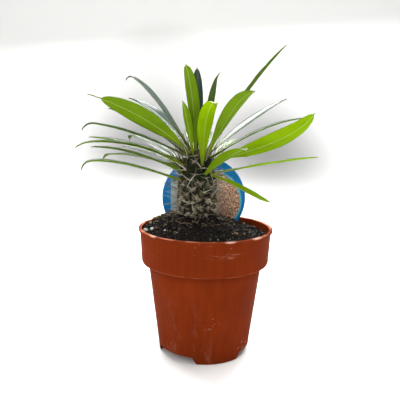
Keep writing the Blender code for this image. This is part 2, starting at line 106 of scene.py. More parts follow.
# Each layer of clods and hollows: its height, its size, and the level that its noise is read at.
CLODS = ((0.9, 5.5, 0), (0.7, 2.1, 7), (0.35, 0.9, 3))
# Grains lie where the surface faces upwards at least this far, and not deeper than this below the rim.
UPWARD = 0.2
DEEPEST_GRAIN = 12.0
FIBRE_BENDS_PER_MM = 0.26
FIBRE_BEND_REACH = 6.0

# Stem
STEM_X = -5.8
SOIL_LINE = 85.0
STEM_PROFILE = (
    (42.0, 1.6),
    (55.0, 5.0),
    (70.0, 8.6),
    (85.0, 10.6),
    (95.0, 11.0),
    (105.0, 11.0),
    (112.0, 10.4),
    (118.0, 9.2),
    (123.0, 7.2),
    (127.0, 4.7),
    (129.3, 2.3),
    (130.3, 0.0),
)
STEM_TOP = STEM_PROFILE[-1][0]
RELIEF_FADE_LOW = 5.0
RELIEF_FADE_TOP = 8.0
TUBERCLES = 96
TUBERCLE_RELIEF = 1.6
TUBERCLE_HALF_WIDTH = 3.3
TUBERCLE_HALF_HEIGHT = 3.0
TUBERCLE_SQUARENESS = 0.4
TUBERCLE_STEEPNESS = 1.4
GOLDEN_ANGLE = 137.508
GREEN_FROM = 98.0
CROWN_FROM = 114.0
SKIN_BELOW_SOIL = 6.0
# The spiral is warped by noise: sideways in radians, up and down, and the size of one warp.
WARP_TURN = 0.26
WARP_RISE = 2.8
WARP_SIZE = 3.6
# Each layer of wrinkles: its height and its size.
WRINKLES = ((0.8, 1.9), (0.5, 0.9))
SPINES_FROM = SOIL_LINE + 1
SPINE_SINK = 0.4

# Tag
TAG_X = -1.6
TAG_Y = 22.0
TAG_CENTRE = 94.9
TAG_RADIUS = 27.8
TAG_THICKNESS = 0.8
STAKE_WIDTH = 14.0
STAKE_TIP = 48.0
STAKE_POINT = 10.0
TAG_STEPS = 120
TAG_BEVEL = 0.12
PICTURE_RIGHT = 4.0
PICTURE_DOWN = 2.0
PICTURE_RADIUS = 20.3
BAND_RADIUS = 21.5
PANEL_CENTRE_X = -17.0
PANEL_CENTRE_Z = -3.0
PANEL_HALF_WIDTH = 5.0
PANEL_HALF_HEIGHT = 15.0
BACK_RING = 5.0
HALF_RULE_SPACING = 3.5
HALF_RULE_WIDTH = 0.3

# Leaves
SEAT_STEP = 0.05
SEAT_ROWS = 14
LEAF_THICKNESS = 0.7
STALK_SHARE = 0.24
WIDEST_AT = 0.6
STALK_LENGTH_POWER = 1.6
TIP_WIDTH = 0.7
FOLD = 0.16
HOOK_FROM = 0.88
TWIST_BY = 0.3
LEAF_STEPS = 56
# The blade starts below its seat and closes past its length, where it narrows, thins and bends down.
ROOT_LENGTH = 1.8
END_LENGTH = 1.6
END_NARROWING = 0.8
END_THINNING = 0.7
END_DROP = 0.8
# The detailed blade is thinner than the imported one, and thicker along its stalk.
BLADE_THICKNESS = 0.5
STALK_EXTRA = 0.9
STALK_END = 0.3
THICKNESS_LIMIT = 1.6
RIB_HALF_WIDTH = 0.7
GROOVE_DEPTH = 0.4
WAVE_FROM = 1.0
WAVE_FULL = 4.0
WELD = 0.001
# The side veins are spaced for a blade of the usual length. They slant, and noise makes them stray.
VEIN_SPACING = 2.0
VEIN_SLANT = 0.6
VEIN_STRAY = 1.6
USUAL_LENGTH = 70.0

Leaf = namedtuple("Leaf", "azimuth height rise length width droop bend sweep roll hook tip tail")

# azimuth: 0 to the right, 90 away from the viewer. height: where it leaves the stem. rise: its slope.
# droop: how much of the slope is lost by the tip, and bend: how late. sweep: sideways turn.
# roll: turn about its own length. hook: the sharp bend of the last tenth.
# tip: low is blunt, high tapers. tail: the share of the length that is a thin dry tail.
LEAVES = (
    Leaf(15, 127, 56, 84, 9, 10, 2.0, 4, -32, 0, 1.0, 0),
    Leaf(-34, 125, 58, 60, 12, 56, 2.6, -34, 0, 0, 0.5, 0),
    Leaf(-70, 121, 87, 46.5, 10, 78, 2.1, 0, 0, 60, 0.45, 0),
    Leaf(240, 129, 87, 52, 8.5, 31, 1.6, 7, 0, 0, 0.4, 0),
    Leaf(98, 129, 82, 50, 7.5, 0, 2.0, 0, 0, 0, 0.5, 0),
    Leaf(235, 127, 75, 32, 6, 10, 2.0, 0, 0, 0, 0.5, 0),
    Leaf(20, 129, 79.5, 47.5, 7.5, 2, 2.2, 0, 14, 20, 0.8, 0),
    Leaf(38, 125, 31, 77, 12, 9, 2.0, -1, -4, 0, 0.9, 0),
    Leaf(10, 124, 31, 65, 9, 24, 2.0, 0, -2, 0, 0.8, 0),
    Leaf(-6, 121, 19, 69, 12, -36, 3.5, -4, -60, 0, 0.5, 0),
    Leaf(-61, 115, 29, 45, 12, 10, 1.9, 7, 0, 50, 0.5, 0),
    Leaf(25, 114, 7, 79, 11, 3, 2.2, 0, -13, 0, 0.8, 0),
    Leaf(-42, 115, -13, 58, 8.5, -16, 2.4, -30, -46, 0, 0.8, 0),
    Leaf(200, 127, 42.5, 70, 12, 26, 1.0, -6, 60, 0, 0.55, 0.1),
    Leaf(150, 125, 32, 65, 11, 17, 1.7, 11, 0, 0, 0.7, 0),
    Leaf(160, 128, 52, 76, 6.5, 34, 2.0, -30, 0, 50, 1.3, 0),
    Leaf(130, 127, 36, 69, 11, 19, 1.7, 16, 0, 0, 0.9, 0),
    Leaf(195, 125, 25, 68, 11, 20, 1.7, -3, 0, 60, 0.9, 0),
    Leaf(172, 122, 17, 61, 11, 13, 2.0, 1, 0, 0, 0.9, 0),
    Leaf(204, 120, 28, 67, 11, 37, 1.3, -2, 0, 20, 0.9, 0),
    Leaf(140, 119, 22, 56, 10, 12, 2.0, 0, -9, 70, 0.4, 0),
    Leaf(202, 116, 23, 57, 11, 21, 2.0, 0, 0, 0, 0.9, 0),
    Leaf(150, 117, 10, 71, 11, 22, 2.0, -7, 0, 40, 0.9, 0),
    Leaf(205, 111, 18, 63, 11, 28, 2.7, -15, 0, 60, 0.9, 0),
    Leaf(163, 118, 20, 41, 9, 12, 2.0, 0, -7, 0, 0.6, 0),
    Leaf(84, 124, 24, 50, 10, 22, 2.0, 0, 0, 0, 0.6, 0),
    Leaf(48, 121, 25, 33, 9, 8, 2.0, 8, 0, 0, 0.6, 0),
    Leaf(101, 126, 26, 47, 8, 28, 2.0, -6, 0, 0, 0.6, 0),
)

# How far each leaf is turned to a dull grey-green, from 0 to 1: partly its age, partly painted shade on a
# leaf in shadow. Below 0 it is yellower: partly youth, partly painted light through a backlit blade.
OLD_AND_SHADED = {5: 1.0, 17: 1.0, 16: 0.9, 15: 0.8, 8: 0.7, 18: 0.6, 21: 0.6, 25: 0.6, 9: 0.5, 23: 0.5, 1: 0.5}
AGING_AND_SHADED = {19: 0.4, 7: 0.35, 20: 0.3, 22: 0.3, 24: 0.3, 4: 0.22, 14: 0.2, 2: 0.18}
YOUNG_AND_BACKLIT = {3: -0.5, 10: -0.2}
AGE_AND_SHADE = OLD_AND_SHADED | AGING_AND_SHADED | YOUNG_AND_BACKLIT

# How steeply the two halves of a blade are folded up, where it isn't the usual fold.
FOLDS = {15: 0.32, 16: 0.4, 17: 0.32}

# Settings that a user would change


def colour_property(name, description, hex_code):
    """A colour that a user may change, with its default as an sRGB hex value."""
    return bpy.props.FloatVectorProperty(
        name=name,
        description=description,
        default=linear_rgb(hex_code),
        size=3,
        min=0,
        max=1,
        subtype="COLOR",
    )


def length_property(name, description, default, low, high):
    """A length that a user may change, with its default and limits in millimetres."""
    return bpy.props.FloatProperty(
        name=name,
        description=description,
        default=default * MM,
        min=low * MM,
        max=high * MM,
        subtype="DISTANCE",
        unit="LENGTH",
    )


def strength_property(name, description, default, high):
    """A strength from 0 that a user may change."""
    return bpy.props.FloatProperty(
        name=name, description=description, default=default, min=0, max=high, subtype="FACTOR"
    )


def linear_rgb(hex_code):
    """An sRGB hex colour as linear red, green and blue."""
    channels = [int(hex_code[i : i + 2], 16) / 255 for i in (0, 2, 4)]
    return tuple(c / 12.92 if c <= 0.04045 else ((c + 0.055) / 1.055) ** 2.4 for c in channels)


class PotSettings(bpy.types.PropertyGroup):
    colour: colour_property("Colour", "Colour of the moulded plastic", "70290D")
    haze: strength_property("Water marks", "How strong the pale marks of dried water are", 0.5, 1)


class TagSettings(bpy.types.PropertyGroup):
    colour: colour_property("Colour", "Main colour of the printed card", "0A78BA")
    band_colour: colour_property("Band", "Colour of the thin band near the edge", "5CBBD4")
    picture_colour: colour_property("Gravel", "Colour of the gravel picture", "C99A80")


class SoilSettings(bpy.types.PropertyGroup):
    colour: colour_property("Colour", "Colour of the moist peat", "0E0B08")
    crumb_size: length_property("Crumb size", "Largest size of the fine crumbs", 1.3, 0.3, 4)
    lump_size: length_property("Lump size", "Largest size of the coarse lumps", 3.0, 1, 8)
    seed: bpy.props.IntProperty(name="Seed", description="Which crumbs are drawn", default=7, min=0)


class StemSettings(bpy.types.PropertyGroup):
    colour: colour_property("Skin", "Colour of the tubercles' tops", "A89E86")
    spine_colour: colour_property("Spines", "Colour of the dry spines", "B5A58C")
    spine_length: length_property("Spine length", "Longest spines below the crown", 14, 4, 20)
    seed: bpy.props.IntProperty(name="Seed", description="Which set of spines is drawn", default=11, min=0)


class LeafSettings(bpy.types.PropertyGroup):
    upper_colour: colour_property("Upper face", "Colour of the waxy upper face", "2C4A18")
    under_colour: colour_property("Underside", "Colour of the underside", "6A8E04")
    light_colour: colour_property("Light through", "Colour of the light through a blade", "C2DC04")
    wave: length_property("Wave", "How far the edges wave up and down", 0.5, 0, 2)


class StageSettings(bpy.types.PropertyGroup):
    floor_colour: colour_property("Floor", "Colour of the floor and backdrop", "F2F2F0")
    light: strength_property("Light", "Strength of all the lamps", 1.0, 5)


# Nodes


# Settings that many nodes share.
IN_COLOUR = {"data_type": "RGBA"}
AS_VECTOR = {"data_type": "FLOAT_VECTOR"}
AS_NUMBER = {"data_type": "FLOAT"}
SMOOTH = {"interpolation_type": "SMOOTHSTEP"}


def first_output(node):
    """The first of a node's outputs that its settings leave open."""
    return next(s for s in node.outputs if s.enabled)


def add(tree, kind, settings=None, *values, **named):
    """Adds a node and feeds its inputs, in order or by name, from values, nodes or outputs.

    The settings are its properties, or just the name of its operation. A node gives its first output.
    """
    node = tree.nodes.new(kind)
    node.location = (180 * (len(tree.nodes) % 12), -220 * (len(tree.nodes) // 12))
    if isinstance(settings, str):
        settings = {"operation": settings}
    for key, value in (settings or {}).items():
        setattr(node, key, value)
    sockets = [s for s in node.inputs if s.enabled]
    pairs = list(zip(sockets, values))
    for key, value in named.items():
        pairs.append((next(s for s in sockets if s.name == key.replace("_", " ")), value))
    for socket, value in pairs:
        if isinstance(value, bpy.types.Node):
            value = first_output(value)
        if isinstance(value, bpy.types.NodeSocket):
            tree.links.new(value, socket)
        elif value is not None:
            opaque = socket.type == "RGBA" and len(value) == 3
            socket.default_value = (*value, 1) if opaque else value
    return node


def cells(size):
    """The scale at which the cells of a pattern measure a size in millimetres."""
    return 1 / (size * MM)


def new_look(name, roughness, specular):
    """A material of a roughness and specular level, with its tree, shader and object coordinates."""
    look = bpy.data.materials.new(name)
    look.use_nodes = True
    tree = look.node_tree
    shader = tree.nodes["Principled BSDF"]
    shader.inputs["Roughness"].default_value = roughness
    shader.inputs["Specular IOR Level"].default_value = specular
    return look, tree, shader, add(tree, "ShaderNodeTexCoord").outputs["Object"]


def dress(tree, shader, colour, height, strength, depth):
    """Gives a shader its colour, and bumps of a strength and a depth in millimetres from a height."""
    bump = add(tree, "ShaderNodeBump", None, strength, depth * MM, Height=height)
    tree.links.new(first_output(colour), shader.inputs["Base Color"])
    tree.links.new(bump.outputs["Normal"], shader.inputs["Normal"])


def new_tree(name, inputs):
    """A Geometry Nodes tree with inputs from {name: (socket type, default)}, and their sockets."""
    tree = bpy.data.node_groups.new(name, "GeometryNodeTree")
    tree.is_modifier = True
    tree.interface.new_socket(name="Geometry", in_out="INPUT", socket_type="NodeSocketGeometry")
    tree.interface.new_socket(name="Geometry", in_out="OUTPUT", socket_type="NodeSocketGeometry")
    for key, (kind, default) in inputs.items():
        socket = tree.interface.new_socket(name=key, in_out="INPUT", socket_type=kind)
        if default is not None:
            socket.default_value = default
    return tree, tree.nodes.new("NodeGroupInput").outputs


def grown(name, mesh, tree, values):
    """The plain mesh that a tree makes from a mesh with the given input values, as an object."""
    obj = add_object(name, mesh)
    modifier = obj.modifiers.new(tree.name, "NODES")
    modifier.node_group = tree
    for item in tree.interface.items_tree:
        if item.item_type == "SOCKET" and item.in_out == "INPUT" and item.name in values:
            modifier[item.identifier] = values[item.name]
    obj.update_tag()
    apply_modifiers(obj)
    if not obj.data.polygons:
        raise RuntimeError(f"{tree.name} made no faces for {name}")
    return obj


# Meshes


def add_object(name, mesh, look=None):
    obj = bpy.data.objects.new(name, mesh)
    bpy.context.scene.collection.objects.link(obj)
    if look:
        mesh.materials.append(look)
    return obj


def apply_modifiers(obj):
    """Makes what the modifiers give the object's plain mesh, and takes the modifiers off."""
    bpy.context.view_layer.update()
    made = bpy.data.meshes.new_from_object(obj.evaluated_get(bpy.context.evaluated_depsgraph_get()))
    obj.modifiers.clear()
    obj.data = made


def finish_piece(obj, slot, *nodes, angle=40):
    """Smooth shading, the body it rides on and the model's nodes that it stands for."""
    obj.data.shade_smooth()
    obj.data.set_sharp_from_angle(angle=math.radians(angle))
    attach(obj, "root")
    if nodes:
        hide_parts(*nodes)


def mesh_of(bm, name):
    bmesh.ops.recalc_face_normals(bm, faces=bm.faces)
    mesh = bpy.data.meshes.new(name)
    bm.to_mesh(mesh)
    bm.free()
    return mesh


def rounded(points, radius, steps=4):
    """A line of points with each inner corner rounded off."""
    line = [Vector(p) for p in points]
    made = [line[0]]
    for before, corner, after in zip(line, line[1:], line[2:]):
        start = corner + (before - corner).normalized() * min(radius, (before - corner).length * 0.45)
        end = corner + (after - corner).normalized() * min(radius, (after - corner).length * 0.45)
        for i in range(steps + 1):
            t = i / steps
            made.append(start * (1 - t) ** 2 + corner * 2 * t * (1 - t) + end * t**2)
    return [tuple(p) for p in made + [line[-1]]]


def turned_mesh(name, points, steps):
    """A closed profile of (radius, height) points, from the axis to the axis, turned round the Z axis."""
    bm = bmesh.new()
    rows = []
    turns = [math.tau * i / steps for i in range(steps)]
    for radius, height in points:
        if radius == 0:
            rows.append([bm.verts.new((0, 0, height * MM))] * steps)
        else:
            ring = [(radius * math.cos(a) * MM, radius * math.sin(a) * MM, height * MM) for a in turns]
            rows.append([bm.verts.new(place) for place in ring])
    for low, high in zip(rows, rows[1:]):
        for i in range(steps):
            j = (i + 1) % steps
            corners = list(dict.fromkeys((low[i], low[j], high[j], high[i])))
            if len(corners) > 2:
                bm.faces.new(corners)
    return mesh_of(bm, name)


def cut(obj, cutters):
    """Takes the cutters out of an object's mesh and removes them."""
    for cutter in cutters:
        modifier = obj.modifiers.new("Cut", "BOOLEAN")
        modifier.operation = "DIFFERENCE"
        modifier.solver = "EXACT"
        modifier.object = cutter
    apply_modifiers(obj)
    for cutter in cutters:
        bpy.data.objects.remove(cutter, do_unlink=True)


def smooth_step(x):
    x = np.clip(x, 0.0, 1.0)
    return x * x * (3 - 2 * x)


# Pot


def pot_outer(height):
    share = height / (POT_HEIGHT - BAND_HEIGHT)
    return FOOT_RADIUS + (BODY_RADIUS_TOP - FOOT_RADIUS) * share


def pot_inner_profile(clearance):
    """Inside of the pot from the floor's middle to the lip, drawn in by a clearance."""
    floor = FLOOR_UNDERSIDE + WALL + clearance
    shoulder = POT_HEIGHT - BAND_HEIGHT + WALL + BAND_ROUNDING / 2 + clearance
    inset = WALL + clearance
    return [
        (0.0, floor),
        (pot_outer(floor) - inset - CORNER, floor),
        (pot_outer(floor) - inset, floor + CORNER),
        (BODY_RADIUS_TOP - inset, shoulder),
        (BAND_RADIUS_LOW - inset, shoulder + SHOULDER),
        (BAND_RADIUS_TOP - inset, POT_HEIGHT),
    ]


def pot_outer_profile():
    band_low = POT_HEIGHT - BAND_HEIGHT
    return [
        (RIM_RADIUS, POT_HEIGHT),
        (RIM_RADIUS, POT_HEIGHT - RIM_BEAD),
        (BAND_RADIUS_TOP, POT_HEIGHT - RIM_BEAD - EDGE_BEVEL),
        (BAND_RADIUS_LOW, band_low + BAND_ROUNDING),
        (BAND_RADIUS_LOW - BAND_ROUNDING / 3, band_low + BAND_ROUNDING / 3),
        (BAND_RADIUS_LOW - BAND_ROUNDING, band_low),
        (BODY_RADIUS_TOP + 2 * EDGE_BEVEL, band_low),
        (BODY_RADIUS_TOP, band_low - 2 * EDGE_BEVEL),
        (pot_outer(FOOT_TAPER), FOOT_TAPER),
        (FOOT_RADIUS - EDGE_BEVEL, 0.0),
        (FOOT_RADIUS - FOOT_WIDTH, 0.0),
        (FOOT_RADIUS - FOOT_WIDTH, FLOOR_UNDERSIDE - 2 * EDGE_BEVEL),
        (FOOT_RADIUS - FOOT_WIDTH - 2 * EDGE_BEVEL, FLOOR_UNDERSIDE),
        (0.0, FLOOR_UNDERSIDE),
    ]


def notch_cutter(index):
    bm = bmesh.new()
    bmesh.ops.create_cube(bm, size=1.0)
    for vertex in bm.verts:
        height = NOTCH_HEIGHT if vertex.co.z > 0 else -NOTCH_DOWN
        half = NOTCH_WIDTH / 2 - NOTCH_SLOPE * height / NOTCH_HEIGHT
        vertex.co.x = (FOOT_RADIUS + (NOTCH_OUT if vertex.co.x > 0 else -NOTCH_IN)) * MM
        vertex.co.y = math.copysign(half, vertex.co.y) * MM
        vertex.co.z = height * MM
    turn = Matrix.Rotation(math.radians(FIRST_NOTCH_AZIMUTH + index * 360 / NOTCHES), 3, "Z")
    bmesh.ops.rotate(bm, verts=bm.verts, cent=(0, 0, 0), matrix=turn)
    return add_object("cutter", mesh_of(bm, "cutter"))


def drain_cutter(index):
    azimuth = math.radians(FIRST_NOTCH_AZIMUTH + index * 360 / DRAIN_HOLES)
    x, y = DRAIN_CIRCLE * math.cos(azimuth), DRAIN_CIRCLE * math.sin(azimuth)
    middle = Vector((x, y, FLOOR_UNDERSIDE + WALL / 2))
    bm = bmesh.new()
    bmesh.ops.create_cone(
        bm,
        cap_ends=True,
        segments=DRAIN_STEPS,
        radius1=DRAIN_RADIUS * MM,
        radius2=DRAIN_RADIUS * MM,
        depth=4 * WALL * MM,
        matrix=Matrix.Translation(middle * MM),
    )
    return add_object("cutter", mesh_of(bm, "cutter"))


def spot(tree, place, centre, reach):
    """A soft spot on a material: 1 at its centre, 0 at its reach along each axis, both in millimetres."""
    middle, radii = (tuple(c * MM for c in part) for part in (centre, reach))
    inside = add(tree, "ShaderNodeMapping", {"vector_type": "TEXTURE"}, place, middle, Scale=radii)
    return add(tree, "ShaderNodeTexGradient", {"gradient_type": "SPHERICAL"}, inside).outputs["Fac"]


# Centre and reach of the scuffed place on the band.
SCUFF = ((12.0, -39.0, 71.5), (15.0, 12.0, 2.4))
# Centre and reach of each painted glint on the rim, a pale spot that stands in for a highlight.
RIM_GLINTS = (
    ((14.7, -40.2, 80.0), (4.2, 4.0, 0.8)),
    ((-31.0, -29.0, 80.0), (3.5, 4.0, 0.7)),
    ((31.0, -29.0, 80.0), (6.0, 5.0, 0.7)),
)


def polypropylene(settings):
    """Injection-moulded terracotta polypropylene: a satin skin with fine grain, painted highlights and
    glints on the rim, and painted shade under the band.
    """
    look, tree, shader, place = new_look("Moulded terracotta polypropylene", 0.5, 0.5)
    dark = tuple(c * 0.78 for c in settings.colour)
    # Melt that cooled unevenly leaves clouds about 25 mm across and streaks down the wall.
    clouds = add(tree, "ShaderNodeTexNoise", None, place, Scale=cells(25), Detail=3.0)
    stretch = add(tree, "ShaderNodeMapping", None, place, Scale=(1.0, 1.0, 0.06))
    streaks = add(tree, "ShaderNodeTexNoise", None, stretch, Scale=cells(2.38), Detail=2.0)
    both = add(tree, "ShaderNodeMath", "ADD", clouds, streaks)
    tone = add(tree, "ShaderNodeMapRange", None, both, 0.75, 1.3, 0.0, 1.0)
    colour = add(tree, "ShaderNodeMix", IN_COLOUR, tone, A=dark, B=settings.colour)
    # Painted highlight: the rim's top edge is painted a pale, chalky orange, more in some places than in
    # others.
    height = add(tree, "ShaderNodeSeparateXYZ", None, place).outputs["Z"]
    top = POT_HEIGHT * MM
    rim_highlight = add(tree, "ShaderNodeMapRange", None, height, top - 0.15 * MM, top + 0.2 * MM, 0.0, 0.8)
    uneven = add(tree, "ShaderNodeTexNoise", None, place, Scale=cells(7.69), Detail=3.0)
    uneven = add(tree, "ShaderNodeMapRange", None, uneven, 0.42, 0.66, 0.1, 1.0)
    rim_highlight = add(tree, "ShaderNodeMath", "MULTIPLY", rim_highlight, uneven)
    colour = add(tree, "ShaderNodeMix", IN_COLOUR, rim_highlight, A=colour, B=linear_rgb("D08468"))
    # Painted glints: pale spots on the rim that stand in for highlights.
    for centre, reach in RIM_GLINTS:
        glint = spot(tree, place, centre, reach)
        glint = add(tree, "ShaderNodeMapRange", None, glint, 0.0, 0.6, 0.0, 0.7)
        colour = add(tree, "ShaderNodeMix", IN_COLOUR, glint, A=colour, B=linear_rgb("DDB09E"))
    # Painted shade darkens the wall just under the band, and a painted highlight lightens the band's lower
    # edge.
    edge = (POT_HEIGHT - BAND_HEIGHT) * MM
    under = add(tree, "ShaderNodeMapRange", None, height, edge - 5 * MM, edge - 0.4 * MM, 0.0, 0.5)
    below = add(tree, "ShaderNodeMath", "LESS_THAN", height, edge - 0.1 * MM)
    under = add(tree, "ShaderNodeMath", "MULTIPLY", under, below)
    under_band_shade = tuple(c * 0.45 for c in settings.colour)
    colour = add(tree, "ShaderNodeMix", IN_COLOUR, under, A=colour, B=under_band_shade)
    # The pale line along the band's lower edge is a painted highlight.
    near = add(tree, "ShaderNodeMath", "COMPARE", height, edge + 0.35 * MM, 0.45 * MM)
    near = add(tree, "ShaderNodeMath", "MULTIPLY", near, uneven)
    near = add(tree, "ShaderNodeMath", "MULTIPLY", near, 0.35)
    colour = add(tree, "ShaderNodeMix", IN_COLOUR, near, A=colour, B=linear_rgb("C07456"))
    # A scuff on the front of the band: thin wavy streaks over 20 mm.
    drawn = add(tree, "ShaderNodeMapping", None, place, Rotation=(0.0, 0.06, 0.0), Scale=(0.09, 0.3, 1.0))
    streak = add(tree, "ShaderNodeTexNoise", None, drawn, Scale=cells(0.909), Detail=3.0, Roughness=0.7)
    streak = add(tree, "ShaderNodeMapRange", None, streak, 0.5, 0.66, 0.0, 1.0)
    scuff = add(tree, "ShaderNodeMapRange", None, spot(tree, place, *SCUFF), 0.0, 0.6, 0.0, 0.2)
    scuff = add(tree, "ShaderNodeMath", "MULTIPLY", scuff, streak)
    colour = add(tree, "ShaderNodeMix", IN_COLOUR, scuff, A=colour, B=linear_rgb("D9A58E"))
    # Dried tap water on the lower wall: fine pale specks that ran down in streaks, mostly front left.
    ran = add(tree, "ShaderNodeMapping", None, place, Scale=(1.0, 1.0, 0.3))
    specks = add(tree, "ShaderNodeTexNoise", None, ran, Scale=cells(7.69), Detail=9.0, Roughness=0.85)
    specks = add(tree, "ShaderNodeMapRange", None, specks, 0.53, 0.72, 0.0, 0.45 * settings.haze)
    lower = add(tree, "ShaderNodeMapRange", None, height, 8 * MM, 48 * MM, 1.0, 0.0)
    leftward = add(tree, "ShaderNodeSeparateXYZ", None, place).outputs["X"]
    leftward = add(tree, "ShaderNodeMapRange", None, leftward, -16 * MM, 12 * MM, 1.0, 0.2)
    specks = add(tree, "ShaderNodeMath", "MULTIPLY", specks, lower)
    specks = add(tree, "ShaderNodeMath", "MULTIPLY", specks, leftward)
    colour = add(tree, "ShaderNodeMix", IN_COLOUR, specks, A=colour, B=linear_rgb("C9A795"))
    # Scratches: thin slanted lines, 3 to 8 mm long.
    slant = add(tree, "ShaderNodeMapping", None, place, Rotation=(0.5, 0.9, 0.3), Scale=(1.0, 0.12, 1.0))
    scratch = add(tree, "ShaderNodeTexNoise", None, slant, Scale=cells(1.43), Detail=1.0)
    scratch = add(tree, "ShaderNodeMapRange", None, scratch, 0.69, 0.72, 0.0, 1.0)
    patch = add(tree, "ShaderNodeTexNoise", None, place, Scale=cells(18.2))
    patch = add(tree, "ShaderNodeMapRange", None, patch, 0.57, 0.72, 0.0, 0.28)
    scratch = add(tree, "ShaderNodeMath", "MULTIPLY", scratch, patch)
    colour = add(tree, "ShaderNodeMix", IN_COLOUR, scratch, A=colour, B=linear_rgb("D8B8A8"))
    rough = add(tree, "ShaderNodeMapRange", None, clouds, 0.3, 0.7, 0.6, 0.75)
    tree.links.new(rough.outputs["Result"], shader.inputs["Roughness"])
    # Spark-eroded mould grain, drawn at 0.4 mm, coarser than the real one, so that it shows.
    grain = add(tree, "ShaderNodeTexNoise", None, place, Scale=cells(0.4), Detail=2.0)
    dress(tree, shader, colour, grain, 0.25, 0.04)
    shader.inputs["IOR"].default_value = 1.06
    return look


class OBJECT_OT_nursery_pot(bpy.types.Operator):
    """Adds the moulded nursery pot with its band, foot notches and drainage holes"""

    bl_idname = "object.pachypodium_pot"
    bl_label = "Nursery Pot"

    def execute(self, context):
        inner = rounded(pot_inner_profile(0.0), INNER_ROUNDING)
        outer = rounded(pot_outer_profile(), OUTER_ROUNDING)
        lip_in, lip_out = inner[-1], outer[0]
        crest = POT_HEIGHT + LIP_RISE
        corners = [lip_in, (lip_in[0] + LIP_INSET, crest), (lip_out[0] - LIP_INSET, crest), lip_out]
        profile = inner[:-1] + rounded(corners, LIP_ROUNDING) + outer[1:]
        mesh = turned_mesh("nursery_pot", profile, POT_STEPS)
        pot = add_object("nursery_pot", mesh, polypropylene(context.scene.pachypodium_pot))
        notches = [notch_cutter(i) for i in range(NOTCHES)]
        cut(pot, notches + [drain_cutter(i) for i in range(DRAIN_HOLES)])
        finish_piece(pot, "pot", "pot")
        return {"FINISHED"}


# Tag


def coated_card(settings):
    """Offset-printed coated card: flat inks under a soft gloss, blue with a picture of gravel."""
    look, tree, shader, place = new_look("Coated printed card", 0.35, 0.15)
    texture = {"vector_type": "TEXTURE"}
    card_middle = (TAG_X * MM, 0, TAG_CENTRE * MM)
    picture_middle = (PICTURE_RIGHT * MM, 0, -PICTURE_DOWN * MM)
    centred = add(tree, "ShaderNodeMapping", texture, place, card_middle)
    axes = add(tree, "ShaderNodeSeparateXYZ", None, centred)
    # The picture is a round field of gravel, right of the middle. Its stones are about 1.5 mm.
    shifted = add(tree, "ShaderNodeMapping", texture, centred, picture_middle)
    flat = add(tree, "ShaderNodeMapping", None, shifted, Scale=(1.0, 0.0, 1.0))
    away = add(tree, "ShaderNodeVectorMath", "LENGTH", flat)
    stones = add(tree, "ShaderNodeTexVoronoi", {"feature": "F1"}, flat, Scale=cells(1.54))
    gaps = add(tree, "ShaderNodeTexVoronoi", {"feature": "DISTANCE_TO_EDGE"}, flat, Scale=cells(1.54))
    stone_tone = add(tree, "ShaderNodeSeparateColor", None, stones.outputs["Color"])
    light = tuple(min(c * 2.0, 1) for c in settings.picture_colour)
    stone = add(tree, "ShaderNodeMix", IN_COLOUR, stone_tone, A=settings.picture_colour, B=light)
    gap_tone = add(tree, "ShaderNodeMapRange", None, gaps, 0.02, 0.1, 0.0, 1.0)
    gravel = add(tree, "ShaderNodeMix", IN_COLOUR, gap_tone, A=linear_rgb("5A3A2E"), B=stone)
    colour = settings.colour
    for radius, ink in ((BAND_RADIUS, settings.band_colour), (PICTURE_RADIUS, gravel)):
        inside = add(tree, "ShaderNodeMath", "LESS_THAN", away, radius * MM)
        colour = add(tree, "ShaderNodeMix", IN_COLOUR, inside, A=colour, B=ink)
    # A plain pale panel stands on the left, between two heights.
    panel_x = (PANEL_CENTRE_X * MM, PANEL_HALF_WIDTH * MM)
    panel_z = (PANEL_CENTRE_Z * MM, PANEL_HALF_HEIGHT * MM)
    across = add(tree, "ShaderNodeMath", "COMPARE", axes.outputs["X"], *panel_x)
    along = add(tree, "ShaderNodeMath", "COMPARE", axes.outputs["Z"], *panel_z)
    panel = add(tree, "ShaderNodeMath", "MULTIPLY", across, along)
    panel = add(tree, "ShaderNodeMath", "MULTIPLY", panel, 0.8)
    colour = add(tree, "ShaderNodeMix", IN_COLOUR, panel, A=colour, B=linear_rgb("A9BDB4"))
    # The back is grey card with ruled lines inside a blue ring.
    upright = add(tree, "ShaderNodeMapping", None, centred, Scale=(1.0, 0.0, 1.0))
    off = add(tree, "ShaderNodeVectorMath", "LENGTH", upright)
    ruled = add(tree, "ShaderNodeMath", "PINGPONG", axes.outputs["Z"], HALF_RULE_SPACING * MM)
    ruled = add(tree, "ShaderNodeMath", "LESS_THAN", ruled, HALF_RULE_WIDTH * MM)
    back = add(tree, "ShaderNodeMix", IN_COLOUR, ruled, A=linear_rgb("A3AAA8"), B=linear_rgb("5E7886"))
    ring = add(tree, "ShaderNodeMath", "GREATER_THAN", off, (TAG_RADIUS - BACK_RING) * MM)
    back = add(tree, "ShaderNodeMix", IN_COLOUR, ring, A=back, B=settings.colour)
    behind = add(tree, "ShaderNodeMath", "GREATER_THAN", axes.outputs["Y"], (TAG_Y + 0.1) * MM)
    colour = add(tree, "ShaderNodeMix", IN_COLOUR, behind, A=colour, B=back)
    # Paper fibres under the coat, drawn at 0.7 mm so that they show.
    fibre = add(tree, "ShaderNodeTexNoise", None, place, Scale=cells(0.667), Detail=3.0)
    dress(tree, shader, colour, fibre, 0.1, 0.03)
    return look


